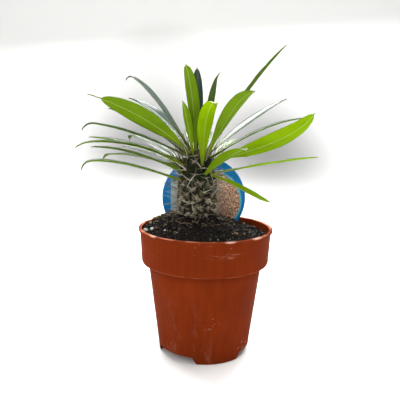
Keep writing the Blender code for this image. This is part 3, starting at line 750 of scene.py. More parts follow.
class OBJECT_OT_plant_tag(bpy.types.Operator):
    """Adds the round card tag that stands in the soil behind the stem"""

    bl_idname = "object.pachypodium_tag"
    bl_label = "Plant Tag"

    def execute(self, context):
        half = STAKE_WIDTH / 2
        join = math.asin(half / TAG_RADIUS)
        outline = []
        for i in range(TAG_STEPS + 1):
            angle = -math.pi / 2 + join + (math.tau - 2 * join) * i / TAG_STEPS
            outline.append((TAG_RADIUS * math.cos(angle), TAG_RADIUS * math.sin(angle)))
        drop = STAKE_TIP - TAG_CENTRE
        outline += [(-half, drop + STAKE_POINT), (0.0, drop), (half, drop + STAKE_POINT)]
        bm = bmesh.new()
        front = TAG_Y - TAG_THICKNESS / 2
        corners = [((TAG_X + x) * MM, front * MM, (TAG_CENTRE + z) * MM) for x, z in outline]
        face = bm.faces.new([bm.verts.new(corner) for corner in corners])
        raised = bmesh.ops.extrude_face_region(bm, geom=[face])
        moved = [item for item in raised["geom"] if isinstance(item, bmesh.types.BMVert)]
        bmesh.ops.translate(bm, verts=moved, vec=(0, TAG_THICKNESS * MM, 0))
        rims = [e for e in bm.edges if abs(e.verts[0].co.y - e.verts[1].co.y) < 1e-7]
        bmesh.ops.bevel(bm, geom=rims, offset=TAG_BEVEL * MM, segments=2, affect="EDGES")
        card = coated_card(context.scene.pachypodium_tag)
        tag = add_object("plant_tag", mesh_of(bm, "plant_tag"), card)
        finish_piece(tag, "tag", "tag")
        return {"FINISHED"}


# Soil


def soil_height(x, y):
    """Height of the soil's surface, without its crumbs."""
    from_stem = math.hypot(x - STEM_X, y)
    from_axis = math.hypot(x, y)
    level = POT_HEIGHT + SOIL_LEVEL + SOIL_TILT_X * x + SOIL_TILT_BACK * max(y, 0.0)
    mound = MOUND_HEIGHT * math.exp(-((from_stem / MOUND_SPREAD) ** 2))
    edge = smooth_step((from_axis - EDGE_START) / (BAND_RADIUS_TOP - EDGE_START))
    return level + mound - EDGE_DROP * edge


def soil_top(x, y):
    """Height of the soil's surface with the clods and hollows that the crumbs lie on."""
    clods = sum(height * noise.noise(Vector((x, y, level)) / size) for height, size, level in CLODS)
    return soil_height(x, y) + clods


def soil_mesh():
    """The soil's body. Its surface starts flat, and its points are then moved to their heights."""
    wall = pot_inner_profile(GAP)
    lip = wall[-1][0]
    surface = [(lip * i / SOIL_RINGS, POT_HEIGHT + 1) for i in range(SOIL_RINGS + 1)]
    mesh = turned_mesh("potting_soil", surface + wall[-2::-1], SOIL_STEPS)
    for vertex in mesh.vertices:
        if vertex.co.z < POT_HEIGHT * MM:
            continue
        x, y = vertex.co.x / MM, vertex.co.y / MM
        height = soil_top(x, y)
        inset = float(np.interp(height, [wall[-2][1], wall[-1][1]], [wall[-2][0], wall[-1][0]])) / lip
        vertex.co = Vector((x * inset, y * inset, height)) * MM
    return mesh


def granular(name, colours, roughness, size, depth, specular=0.1):
    """A dull granular matter: a ramp of like colours over grains of a size that stand out by a depth."""
    look, tree, shader, place = new_look(name, roughness, specular)
    grains = add(tree, "ShaderNodeTexNoise", None, place, Scale=cells(size), Detail=6.0, Roughness=0.65)
    ramp = add(tree, "ShaderNodeValToRGB", None, grains.outputs["Fac"])
    stops = ramp.color_ramp.elements
    while len(stops) < len(colours):
        stops.new(0.5)
    for i, colour in enumerate(colours):
        stops[i].position = 0.3 + 0.4 * i / (len(colours) - 1)
        stops[i].color = (*colour, 1)
    dress(tree, shader, ramp, grains, 0.7, depth)
    return look


def scatter_tree():
    """Rough grains at random places on a surface, with random turns and sizes."""
    tree, given = new_tree(
        "Scatter Grains",
        {
            "Spacing": ("NodeSocketFloat", 1.0 * MM),
            "Density": ("NodeSocketFloat", 1e6),
            "Smallest": ("NodeSocketFloat", 0.5 * MM),
            "Largest": ("NodeSocketFloat", 1.5 * MM),
            "Subdivisions": ("NodeSocketInt", 1),
            "Roughness": ("NodeSocketFloat", 0.5),
            "Seed": ("NodeSocketInt", 0),
            "Material": ("NodeSocketMaterial", None),
        },
    )
    # Only the top of the soil carries grains.
    up = add(tree, "ShaderNodeSeparateXYZ", None, add(tree, "GeometryNodeInputNormal")).outputs["Z"]
    height = add(tree, "ShaderNodeSeparateXYZ", None, add(tree, "GeometryNodeInputPosition")).outputs["Z"]
    on_top = add(tree, "FunctionNodeCompare", "GREATER_THAN", up, UPWARD)
    above = add(tree, "FunctionNodeCompare", "GREATER_THAN", height, (POT_HEIGHT - DEEPEST_GRAIN) * MM)
    chosen = add(tree, "FunctionNodeBooleanMath", "AND", on_top, above)
    points = add(
        tree,
        "GeometryNodeDistributePointsOnFaces",
        {"distribute_method": "POISSON"},
        given["Geometry"],
        Selection=chosen,
        Distance_Min=given["Spacing"],
        Density_Max=given["Density"],
        Seed=given["Seed"],
    )
    ball = add(tree, "GeometryNodeMeshIcoSphere", None, 0.5, given["Subdivisions"])
    wobble = add(tree, "ShaderNodeTexNoise", None, Scale=2.4, Detail=1.0).outputs["Color"]
    centred = add(tree, "ShaderNodeVectorMath", "SUBTRACT", wobble, (0.5, 0.5, 0.5))
    moved = add(tree, "ShaderNodeVectorMath", "SCALE", centred, Scale=given["Roughness"])
    grain = add(tree, "GeometryNodeSetPosition", None, ball, Offset=moved)
    limits = {"Min": given["Smallest"], "Max": given["Largest"]}
    size = add(tree, "FunctionNodeRandomValue", AS_NUMBER, **limits, Seed=given["Seed"])
    squash = add(tree, "FunctionNodeRandomValue", AS_VECTOR, (0.6, 0.6, 0.45), (1.25, 1.25, 0.9), Seed=5)
    scale = add(tree, "ShaderNodeVectorMath", "SCALE", squash, Scale=size)
    turn = add(tree, "FunctionNodeRandomValue", AS_VECTOR, (0, 0, 0), (6.28, 6.28, 6.28), Seed=9)
    kind = "GeometryNodeInstanceOnPoints"
    placed = add(tree, kind, None, points, Instance=grain, Rotation=turn, Scale=scale)
    real = add(tree, "GeometryNodeRealizeInstances", None, placed)
    finished = add(tree, "GeometryNodeSetMaterial", None, real, Material=given["Material"])
    add(tree, "NodeGroupOutput", None, finished)
    return tree


def fibre_tree():
    """Fine wavy root fibres that lie on the soil around the stem."""
    inputs = {
        "Length": ("NodeSocketFloat", 9 * MM),
        "Radius": ("NodeSocketFloat", 0.16 * MM),
        "Reach": ("NodeSocketFloat", 22 * MM),
        "Density": ("NodeSocketFloat", 2e4),
        "Seed": ("NodeSocketInt", 0),
        "Material": ("NodeSocketMaterial", None),
    }
    tree, given = new_tree("Root Fibres", inputs)
    place = add(tree, "GeometryNodeInputPosition")
    stem_foot = (STEM_X * MM, 0, SOIL_LINE * MM)
    away = add(tree, "ShaderNodeVectorMath", "SUBTRACT", place, stem_foot)
    away = add(tree, "ShaderNodeVectorMath", "LENGTH", away)
    near = add(tree, "FunctionNodeCompare", "LESS_THAN", away, given["Reach"])
    up = add(tree, "ShaderNodeSeparateXYZ", None, add(tree, "GeometryNodeInputNormal")).outputs["Z"]
    on_top = add(tree, "FunctionNodeCompare", "GREATER_THAN", up, UPWARD)
    chosen = add(tree, "FunctionNodeBooleanMath", "AND", near, on_top)
    kind = "GeometryNodeDistributePointsOnFaces"
    scatter = {"Density": given["Density"], "Seed": given["Seed"]}
    points = add(tree, kind, None, given["Geometry"], chosen, **scatter)
    line = add(tree, "GeometryNodeCurvePrimitiveLine", None, (-0.5, 0, 0), (0.5, 0, 0))
    line = add(tree, "GeometryNodeResampleCurve", None, line, Count=14)
    turn = add(tree, "FunctionNodeRandomValue", AS_VECTOR, (0, -0.35, 0), (0, 0.35, 6.28), Seed=2)
    lines = add(tree, "GeometryNodeInstanceOnPoints", None, points, Instance=line, Rotation=turn)
    spread = add(tree, "FunctionNodeRandomValue", AS_NUMBER, Min=0.4, Max=1.4, Seed=4)
    length = add(tree, "ShaderNodeMath", "MULTIPLY", spread, given["Length"])
    lines = add(tree, "GeometryNodeScaleInstances", None, lines, Scale=length)
    lines = add(tree, "GeometryNodeRealizeInstances", None, lines)
    # Each fibre bends sideways and a little upwards.
    bends = add(tree, "ShaderNodeTexNoise", None, Scale=FIBRE_BENDS_PER_MM / MM, Detail=1.0)
    bends = add(tree, "ShaderNodeVectorMath", "SUBTRACT", bends.outputs["Color"], (0.5, 0.5, 0.4))
    bends = add(tree, "ShaderNodeVectorMath", "SCALE", bends, Scale=FIBRE_BEND_REACH * MM)
    lines = add(tree, "GeometryNodeSetPosition", None, lines, Offset=bends)
    ring = add(tree, "GeometryNodeCurvePrimitiveCircle", None, Resolution=5, Radius=given["Radius"])
    tubes = add(tree, "GeometryNodeCurveToMesh", None, lines, ring, Fill_Caps=True)
    finished = add(tree, "GeometryNodeSetMaterial", None, tubes, Material=given["Material"])
    add(tree, "NodeGroupOutput", None, finished)
    return tree


# Each stone or chip: where it lies, its three sizes, and its turn about the vertical in degrees.
PEBBLES = (
    ((-37.0, -10.0, 79.6), (2.8, 2.4, 2.2), 20),
    ((-32.6, -12.8, 80.6), (3.6, 2.8, 2.8), 70),
    ((-23.5, 18.5, 83.6), (3.2, 2.6, 2.2), 10),
)
BARK_CHIPS = (
    ((-30.5, 11.0, 83.0), (11.5, 4.6, 3.0), 52),
    ((-27.5, 17.5, 83.7), (8.0, 3.6, 2.6), 60),
    ((-34.8, 2.5, 81.4), (6.5, 3.0, 1.9), 80),
    ((-22.5, 22.0, 84.6), (6.0, 3.0, 3.0), 20),
    ((18.0, -17.0, 80.0), (5.0, 2.4, 1.8), 130),
)


def stones_mesh(name, stones):
    """Rough stones or chips, one for each place, size and turn."""
    bm = bmesh.new()
    for number, (place, sizes, azimuth) in enumerate(stones):
        made = bmesh.ops.create_icosphere(bm, subdivisions=3, radius=0.5)["verts"]
        turn = Matrix.Rotation(math.radians(azimuth), 3, "Z")
        for vertex in made:
            rough = 1 + 0.3 * noise.noise(vertex.co * 2.2 + Vector((0, 0, 9 * number)))
            rough += 0.1 * noise.noise(vertex.co * 6.0 + Vector((0, 9 * number, 0)))
            scaled = Vector([c * size * rough for c, size in zip(vertex.co, sizes)])
            vertex.co = (turn @ scaled + Vector(place)) * MM
    return mesh_of(bm, name)


class OBJECT_OT_potting_soil(bpy.types.Operator):
    """Adds the soil with its crumbs, lumps, perlite, bark and pebbles"""

    bl_idname = "object.pachypodium_soil"
    bl_label = "Potting Soil"

    def execute(self, context):
        settings = context.scene.pachypodium_soil
        dark = tuple(settings.colour)
        mid = tuple(c * 1.8 for c in dark)
        brown, black, pale = (linear_rgb(code) for code in ("211B16", "1B1713", "5E574E"))
        # Moist peat is matt and almost black, with browner specks.
        peat = granular("Moist peat", [dark, mid, brown], 0.9, size=1.11, depth=0.4, specular=0.05)
        # Crumbs of it shine a little where they are wet, and a few dry places are pale.
        blacks = [dark, dark, black, pale]
        grit = granular("Peat crumbs", blacks, 0.55, size=5, depth=0.2, specular=0.15)
        # Quartz grit is smooth and grey, and its lighter grains stand out in the peat.
        greys = [linear_rgb("4E483E"), linear_rgb("A39C8E")]
        stone = granular("Quartz grit", greys, 0.5, size=2, depth=0.1, specular=0.2)
        # Composted bark goes from dark brown to a dry light brown in flakes.
        browns = [linear_rgb("3A2A1E"), linear_rgb("8E7658")]
        bark = granular("Composted pine bark", browns, 0.85, size=3.125, depth=0.4)
        # Expanded perlite is white and chalky, with fine pores.
        whites = [linear_rgb("A8AAA2"), linear_rgb("E4E2D6")]
        perlite = granular("Expanded perlite", whites, 0.85, size=0.833, depth=0.15)
        # Dry root fibres are straw brown and dull.
        straws = [linear_rgb("3E3226"), linear_rgb("9A8870")]
        fibre = granular("Dry root fibre", straws, 0.8, size=3.33, depth=0.05)
        bed = add_object("potting_soil", soil_mesh(), peat)
        tree = scatter_tree()
        # name, spacing, smallest and largest, subdivisions, roughness, material, grains per square metre
        kinds = (
            ("soil_crumbs", 0.9, 0.4, settings.crumb_size / MM, 1, 0.9, grit, 1e6),
            ("soil_lumps", 2.2, 1.3, settings.lump_size / MM, 2, 1.3, grit, 1.4e5),
            ("quartz_grit", 1.8, 0.25, 0.7, 1, 0.8, stone, 2.6e4),
            ("bark_bits", 3.5, 1.0, 3.2, 1, 1.3, bark, 0.8e4),
            ("perlite_grains", 6.0, 0.6, 1.5, 2, 0.8, perlite, 0.5e4),
        )
        for i, (name, spacing, small, large, level, rough, look, density) in enumerate(kinds):
            values = {
                "Spacing": spacing * MM,
                "Density": density,
                "Smallest": small * MM,
                "Largest": large * MM,
                "Subdivisions": level,
                "Roughness": rough,
                "Seed": settings.seed + i,
                "Material": look,
            }
            piece = grown(name, bed.data.copy(), tree, values)
            finish_piece(piece, "soil", angle=60)
        fibre_values = {"Seed": settings.seed, "Material": fibre}
        finish_piece(grown("root_fibres", bed.data.copy(), fibre_tree(), fibre_values), "soil")
        for name, look, stones in (("pebbles", perlite, PEBBLES), ("bark_chips", bark, BARK_CHIPS)):
            finish_piece(add_object(name, stones_mesh(name, stones), look), "soil", angle=60)
        finish_piece(bed, "soil", "soil", angle=180)
        return {"FINISHED"}


# Stem


def stem_radius(height):
    """Radius between the tubercles."""
    heights, radii = zip(*STEM_PROFILE)
    return np.interp(height, heights, radii)


def stem_slope(height):
    """How much the stem widens over 1 mm of height."""
    return stem_radius(height + 0.5) - stem_radius(height - 0.5)


def relief_fade(height):
    """How much relief a height has: it fades out at the soil and at the top."""
    low = smooth_step((height - SOIL_LINE) / RELIEF_FADE_LOW)
    return low * smooth_step((STEM_TOP - height) / RELIEF_FADE_TOP)


def tubercle_places(samples=200):
    """Angle and height of each tubercle: the golden angle from the last, at equal areas of the stem."""
    heights = np.linspace(SOIL_LINE, STEM_TOP, samples)
    radii = np.array([stem_radius(z) for z in heights])
    lengths = np.hypot(np.diff(heights), np.diff(radii))
    area = np.concatenate([[0], np.cumsum(lengths * (radii[1:] + radii[:-1]) / 2)])
    places = []
    for i in range(TUBERCLES):
        height = float(np.interp((i + 0.5) / TUBERCLES * area[-1], area, heights))
        places.append((math.radians(i * GOLDEN_ANGLE % 360), height))
    return places


def relief(angle, height, places):
    """How far a tubercle stands out at a point of the stem, from 0 to 1. The arguments may be arrays."""
    core = stem_radius(height)
    bump = np.zeros(np.shape(angle))
    for place_angle, place_height in places:
        rise = abs(height - place_height) / TUBERCLE_HALF_HEIGHT
        turn = (angle - place_angle + math.pi) % math.tau - math.pi
        across = abs(turn) * core / TUBERCLE_HALF_WIDTH
        away = (1 - TUBERCLE_SQUARENESS) * np.hypot(across, rise) + TUBERCLE_SQUARENESS * (across + rise)
        bump = np.maximum(bump, np.where(rise < 1, 1 - away, 0))
    return smooth_step(bump * TUBERCLE_STEEPNESS)


def surface_radius(angle, height, places):
    return stem_radius(height) + TUBERCLE_RELIEF * relief_fade(height) * relief(angle, height, places)


def surface_point(angle, height, places):
    """Point on the stem and the outward normal of its profile there."""
    outward = Vector((math.cos(angle), math.sin(angle), 0))
    normal = (outward - Vector((0, 0, float(stem_slope(height))))).normalized()
    return outward * float(surface_radius(angle, height, places)) + Vector((0, 0, height)), normal


def stem_clearance(point, places):
    """How far a point lies outside the stem's surface."""
    if point.z >= STEM_TOP:
        return point.z - STEM_TOP + math.hypot(point.x, point.y)
    radius = float(surface_radius(math.atan2(point.y, point.x), point.z, places))
    return (math.hypot(point.x, point.y) - radius) / math.hypot(1, float(stem_slope(point.z)))


def stem_mesh(places, sides=220, rows=150, samples=400):
    """The stem with its warped tubercles and wrinkles. Each point keeps how far it stands out."""
    low = SOIL_LINE - SKIN_BELOW_SOIL
    angles = np.linspace(0, math.tau, sides, endpoint=False)
    # Rows follow the profile's own length, so that the dome over the growing point gets its share.
    heights = np.linspace(low, STEM_TOP, samples)
    pieces = np.hypot(np.diff(heights), np.diff(stem_radius(heights)))
    length = np.concatenate([[0], np.cumsum(pieces)])
    rings = np.interp(np.linspace(0, length[-1], rows), length, heights)[:-1]
    turn, height = np.meshgrid(angles, rings)
    # The noise of warps and wrinkles is read on a cylinder as wide as the stem.
    widest = max(radius for _, radius in STEM_PROFILE)
    spots = [[Vector((math.cos(a) * widest, math.sin(a) * widest, z)) for a in angles] for z in rings]
    apart = Vector((0, 0, 40))
    askew = np.array([[noise.noise(spot / WARP_SIZE) for spot in row] for row in spots])
    lifted = np.array([[noise.noise(spot / WARP_SIZE + apart) for spot in row] for row in spots])
    raised = relief(turn + WARP_TURN * askew, height + WARP_RISE * lifted, places)
    radius = stem_radius(height) + TUBERCLE_RELIEF * relief_fade(height) * raised
    bm = bmesh.new()
    layer = bm.verts.layers.float.new("relief")
    grid = []
    for i in range(len(rings)):
        row = []
        for j in range(sides):
            a, z, spot = angles[j], rings[i], spots[i][j]
            wrinkle = sum(depth * noise.noise(spot / size) for depth, size in WRINKLES)
            r = float(radius[i, j]) + wrinkle * float(relief_fade(z))
            vertex = bm.verts.new(((STEM_X + r * math.cos(a)) * MM, r * math.sin(a) * MM, z * MM))
            vertex[layer] = float(raised[i, j])
            row.append(vertex)
        grid.append(row)
    for low_row, high_row in zip(grid, grid[1:]):
        for j in range(sides):
            k = (j + 1) % sides
            bm.faces.new((low_row[j], low_row[k], high_row[k], high_row[j]))
    for row, z in ((grid[0], rings[0]), (grid[-1], STEM_TOP)):
        tip = bm.verts.new((STEM_X * MM, 0, z * MM))
        for j in range(sides):
            bm.faces.new((row[j], row[(j + 1) % sides], tip))
    return mesh_of(bm, "spiny_stem")


def stem_skin(settings):
    """Corky skin of a young caudex: grey-brown tops, painted shade in the hollows between them and a green
    crown.
    """
    look, tree, shader, place = new_look("Corky caudex skin", 0.8, 0.12)
    raised = add(tree, "ShaderNodeAttribute", {"attribute_name": "relief"}).outputs["Fac"]
    patches = add(tree, "ShaderNodeTexNoise", None, place, Scale=cells(3.85), Detail=5.0, Roughness=0.65)
    patches = add(tree, "ShaderNodeMapRange", None, patches, 0.42, 0.6, 0.0, 1.0)
    top = add(tree, "ShaderNodeMix", IN_COLOUR, patches, A=linear_rgb("3E382C"), B=settings.colour)
    # Young skin stays olive green in patches.
    young = add(tree, "ShaderNodeTexNoise", None, place, Scale=cells(5.88), Detail=3.0)
    young = add(tree, "ShaderNodeMapRange", None, young, 0.5, 0.66, 0.0, 0.7)
    top = add(tree, "ShaderNodeMix", IN_COLOUR, young, A=top, B=linear_rgb("4E5628"))
    # The hollows between the tubercles are darkened as painted shade, and the skin darkens to green towards
    # the crown.
    out_of_hollow_shade = add(tree, "ShaderNodeMapRange", None, raised, 0.05, 0.8, 0.0, 1.0)
    colour = add(tree, "ShaderNodeMix", IN_COLOUR, out_of_hollow_shade, A=linear_rgb("1E1A12"), B=top)
    height = add(tree, "ShaderNodeSeparateXYZ", None, place).outputs["Z"]
    green = add(tree, "ShaderNodeMapRange", None, height, GREEN_FROM * MM, CROWN_FROM * MM, 0.0, 0.95)
    colour = add(tree, "ShaderNodeMix", IN_COLOUR, green, A=colour, B=linear_rgb("141E08"))
    # Cork grain, 0.6 mm, on lumps of 2 mm.
    grain = add(tree, "ShaderNodeTexNoise", None, place, Scale=cells(0.625), Detail=4.0, Roughness=0.7)
    lumps = add(tree, "ShaderNodeTexNoise", None, place, Scale=cells(1.92), Detail=2.0)
    lumps = add(tree, "ShaderNodeMath", "MULTIPLY", lumps, 3.0)
    lumps = add(tree, "ShaderNodeMath", "ADD", lumps, grain)
    dress(tree, shader, colour, lumps, 0.7, 0.25)
    return look


def dry_spine(name, root, dull, pale):
    """Dry woody spines: matt, of one colour at the root and from dull to bleached pale beyond it."""
    look, tree, shader, _ = new_look(name, 0.6, 0.2)
    along = add(tree, "ShaderNodeAttribute", {"attribute_name": "along"}).outputs["Fac"]
    tone = add(tree, "ShaderNodeAttribute", {"attribute_name": "tone"}).outputs["Fac"]
    shade = add(tree, "ShaderNodeMath", "POWER", tone, 1.5)
    beyond = add(tree, "ShaderNodeMix", IN_COLOUR, shade, A=dull, B=pale)
    base = add(tree, "ShaderNodeMapRange", None, along, 0.0, 0.25, 0.0, 1.0)
    colour = add(tree, "ShaderNodeMix", IN_COLOUR, base, A=root, B=beyond)
    tree.links.new(first_output(colour), shader.inputs["Base Color"])
    return look


def spine_tree():
    """Splayed, slightly bent spines on points that carry the direction out of the stem."""
    tree, given = new_tree(
        "Tubercle Spines",
        {
            "Count": ("NodeSocketInt", 3),
            "Shortest": ("NodeSocketFloat", 6 * MM),
            "Longest": ("NodeSocketFloat", 15 * MM),
            "Radius": ("NodeSocketFloat", 0.26 * MM),
            "Splay": ("NodeSocketFloat", 0.6),
            "Rise": ("NodeSocketFloat", 0.25),
            "Stray": ("NodeSocketFloat", 0.6),
            "Bow": ("NodeSocketFloat", 4.0),
            "Seed": ("NodeSocketInt", 0),
            "Material": ("NodeSocketMaterial", None),
        },
    )
    by_point = {"domain": "POINT"}
    kind = "GeometryNodeDuplicateElements"
    copies = add(tree, kind, by_point, given["Geometry"], Amount=given["Count"])
    outward = add(tree, "GeometryNodeInputNamedAttribute", AS_VECTOR, "outward")
    sideways = add(tree, "ShaderNodeVectorMath", "CROSS_PRODUCT", (0, 0, 1), outward)
    # Each spine heads outwards, leans to its side, strays at random and rises.
    lean = add(tree, "ShaderNodeMath", "SUBTRACT", copies.outputs["Duplicate Index"], 1.0)
    lean = add(tree, "ShaderNodeMath", "MULTIPLY", lean, given["Splay"])
    stray = add(tree, "FunctionNodeRandomValue", AS_VECTOR, (-1, -1, -1), (1, 1, 1), Seed=given["Seed"])
    stray = add(tree, "ShaderNodeVectorMath", "SCALE", stray, Scale=given["Stray"])
    lift = add(tree, "ShaderNodeCombineXYZ", None, 0.0, 0.0, given["Rise"])
    heading = add(tree, "ShaderNodeVectorMath", "SCALE", sideways, Scale=lean)
    for part in (outward, stray, lift):
        heading = add(tree, "ShaderNodeVectorMath", "ADD", heading, part)
    turn = add(tree, "FunctionNodeAlignRotationToVector", {"axis": "Z"}, Vector=heading)
    spin = add(tree, "FunctionNodeRandomValue", AS_NUMBER, Min=0.0, Max=6.28, Seed=3)
    about = add(tree, "ShaderNodeCombineXYZ", None, 0.0, 0.0, spin)
    turn = add(tree, "FunctionNodeRotateRotation", {"rotation_space": "LOCAL"}, turn, about)
    limits = {"Min": given["Shortest"], "Max": given["Longest"]}
    length = add(tree, "FunctionNodeRandomValue", AS_NUMBER, **limits, Seed=given["Seed"])
    size = add(tree, "ShaderNodeCombineXYZ", None, given["Radius"], given["Radius"], length)
    # One spine is a cone of unit length that bends more and more towards its tip.
    cone = add(tree, "GeometryNodeMeshCone", {"fill_type": "TRIANGLE_FAN"}, 6, 5, 1, 0.15, 1.0, 1.0)
    height = add(tree, "ShaderNodeSeparateXYZ", None, add(tree, "GeometryNodeInputPosition")).outputs["Z"]
    bow = add(tree, "ShaderNodeMath", "POWER", height, 2.0)
    bow = add(tree, "ShaderNodeMath", "MULTIPLY", bow, given["Bow"])
    bow = add(tree, "ShaderNodeCombineXYZ", None, bow)
    bent = add(tree, "GeometryNodeSetPosition", None, cone, Offset=bow)
    store = "GeometryNodeStoreNamedAttribute"
    marked = add(tree, store, AS_NUMBER | by_point, bent, Name="along", Value=height)
    kind = "GeometryNodeInstanceOnPoints"
    placed = add(tree, kind, None, copies, Instance=marked, Rotation=turn, Scale=size)
    tone = add(tree, "FunctionNodeRandomValue", AS_NUMBER, Min=0.0, Max=1.0, Seed=21)
    toned = add(tree, store, AS_NUMBER | {"domain": "INSTANCE"}, placed, Name="tone", Value=tone)
    real = add(tree, "GeometryNodeRealizeInstances", None, toned)
    finished = add(tree, "GeometryNodeSetMaterial", None, real, Material=given["Material"])
    add(tree, "NodeGroupOutput", None, finished)
    return tree


def points_mesh(name, points, vectors):
    """Loose points in millimetres that carry named vectors."""
    mesh = bpy.data.meshes.new(name)
    mesh.from_pydata([p * MM for p in points], [], [])
    for key, values in vectors.items():
        layer = mesh.attributes.new(key, "FLOAT_VECTOR", "POINT")
        layer.data.foreach_set("vector", np.array(values, np.float32).ravel())
    return mesh


class OBJECT_OT_spiny_stem(bpy.types.Operator):
    """Adds the swollen stem with its spiral of tubercles, and the spines on them"""

    bl_idname = "object.pachypodium_stem"
    bl_label = "Spiny Stem"

    def execute(self, context):
        settings = context.scene.pachypodium_stem
        places = tubercle_places()
        stem = add_object("spiny_stem", stem_mesh(places), stem_skin(settings))
        finish_piece(stem, "stem", "stem", angle=180)
        points, outs = [], []
        for angle, height in places:
            if height < SPINES_FROM:
                continue
            point, outward = surface_point(angle, height, places)
            points.append(point + Vector((STEM_X, 0, 0)) - outward * SPINE_SINK)
            outs.append(outward)
        root = tuple(settings.spine_colour)
        # Old spines go from dark brown to pale grey, with a straw-coloured root.
        tan = dry_spine("Dry woody spine", root, linear_rgb("54463A"), linear_rgb("CCC3B4"))
        # Young ones are dark brown all over and stand out against the leaves.
        young = [linear_rgb(code) for code in ("3A281C", "1E1510", "64523E")]
        dark = dry_spine("Young crown spine", *young)
        # A few in the crown are bleached nearly white.
        bleached = dry_spine("Bleached crown spine", root, linear_rgb("A89C8A"), linear_rgb("E6E0D4"))
        crown = [p.z > CROWN_FROM for p in points]
        below = [not high for high in crown]
        longest = settings.spine_length
        # name, where, count, shortest and longest, splay, rise, stray, bow, radius and material
        kinds = (
            ("spines", None, 3, 0.3, 1.0, 0.6, 0.25, 0.6, 4.0, 0.25, tan),
            ("old_spines", below, 4, 0.2, 0.55, 1.0, 0.1, 1.2, 9.0, 0.15, tan),
            ("crown_spines", crown, 4, 0.7, 1.5, 0.35, 1.5, 0.5, 3.0, 0.2, dark),
            ("pale_crown_spines", crown, 1, 0.5, 0.95, 0.5, 0.1, 1.1, 10.0, 0.28, bleached),
        )
        tree = spine_tree()
        for i, (name, chosen, *numbers, look) in enumerate(kinds):
            count, low, high, splay, rise, stray, bow, radius = numbers
            kept = [k for k in range(len(points)) if chosen is None or chosen[k]]
            tips = points_mesh(name, [points[k] for k in kept], {"outward": [outs[k] for k in kept]})
            values = {
                "Count": count,
                "Shortest": longest * low,
                "Longest": longest * high,
                "Splay": splay,
                "Rise": rise,
                "Stray": stray,
                "Bow": bow,
                "Radius": radius * MM,
                "Seed": settings.seed + i,
                "Material": look,
            }
            finish_piece(grown(name, tips, tree, values), "stem")
        return {"FINISHED"}


# Leaves


def half_width(leaf, t):
    """A narrow stalk, widest past the middle, then the tip and its tail."""
    full = leaf.width / 2
    t = min(max(t, 0) / (1 - leaf.tail), 1)
    if t < WIDEST_AT:
        grown_by = math.sin(math.pi / 2 * t / WIDEST_AT) ** STALK_LENGTH_POWER
        return full * (STALK_SHARE + (1 - STALK_SHARE) * grown_by)
    past = (t - WIDEST_AT) / (1 - WIDEST_AT)
    return max(full * (1 - past**2) ** leaf.tip, TIP_WIDTH / 2)


def leaf_direction(leaf, t):
    """The way the midrib runs at a share of its length: its slope, droop, sideways sweep and hook."""
    hook = leaf.hook * max(0.0, (t - HOOK_FROM) / (1 - HOOK_FROM))
    elevation = math.radians(leaf.rise - leaf.droop * max(t, 0) ** leaf.bend - hook)
    turn = math.radians(leaf.sweep * t)
    flat = math.cos(elevation)
    return Vector((flat * math.cos(turn), flat * math.sin(turn), math.sin(elevation)))


def leaf_frames(leaf, shares):
    """Point, side, normal and half width at each share of the blade's length, in the leaf's own frame."""
    steps = LEAF_STEPS
    points = [Vector((0, 0, 0))]
    for i in range(steps):
        points.append(points[-1] + leaf_direction(leaf, (i + 0.5) / steps) * leaf.length / steps)
    frames = []
    for t in shares:
        direction = leaf_direction(leaf, min(t, 1))
        at = min(max(t, 0), 1) * steps
        i = min(int(at), steps - 1)
        point = points[i].lerp(points[i + 1], at - i)
        point += direction * (t - min(max(t, 0), 1)) * leaf.length
        turn = math.radians(leaf.sweep * t)
        side = Vector((math.sin(turn), -math.cos(turn), 0))
        normal = side.cross(direction)
        twist = Matrix.Rotation(math.radians(leaf.roll) * min(max(t, 0) / TWIST_BY, 1), 3, direction)
        frames.append((point, twist @ side, twist @ normal, half_width(leaf, t)))
    return frames


def leaf_base(leaf, places):
    """Where the leaf's own origin lies on the stem, as near as its stalk's corners allow."""
    turn = Matrix.Rotation(math.radians(leaf.azimuth), 3, "Z")
    base, outward = surface_point(math.radians(leaf.azimuth), leaf.height, places)
    corners = []
    for point, side, normal, half in leaf_frames(leaf, (0, 1 / SEAT_ROWS)):
        for across in (-1, 0, 1):
            for face in (-1, 1):
                raised = abs(across) * half * FOLD + face * LEAF_THICKNESS / 2
                corners.append(turn @ (point + side * across * half + normal * raised))
    while any(stem_clearance(base + corner, places) < GAP for corner in corners):
        base += outward * SEAT_STEP
    return base


def midrib_mesh(leaf, places, rows=72, tail_rows=6):
    """The midrib's points, with the blade's side, normal, half width, thickness and share of length."""
    base = leaf_base(leaf, places) + Vector((STEM_X, 0, 0))
    turn = Matrix.Rotation(math.radians(leaf.azimuth), 3, "Z")
    root = -ROOT_LENGTH / leaf.length
    tail = END_LENGTH / leaf.length
    shares = [root + (1 - root) * i / rows for i in range(rows + 1)]
    shares += [1 + tail * (i + 1) / tail_rows for i in range(tail_rows)]
    points, sides, normals, sizes = [], [], [], []
    for t, (point, side, normal, half) in zip(shares, leaf_frames(leaf, shares)):
        past = max(0.0, (t - 1) / tail)
        half *= 1 - END_NARROWING * past
        thick = BLADE_THICKNESS + STALK_EXTRA * (1 - smooth_step(t / STALK_END))
        thick = min(thick, half * THICKNESS_LIMIT) * (1 - END_THINNING * past)
        points.append(base + turn @ (point - normal * past * past * END_DROP))
        sides.append(turn @ side)
        normals.append(turn @ normal)
        sizes.append(Vector((half * MM, thick * MM, t)))
    mesh = points_mesh("midrib", points, {"side": sides, "normal": normals, "size": sizes})
    return mesh, len(points)


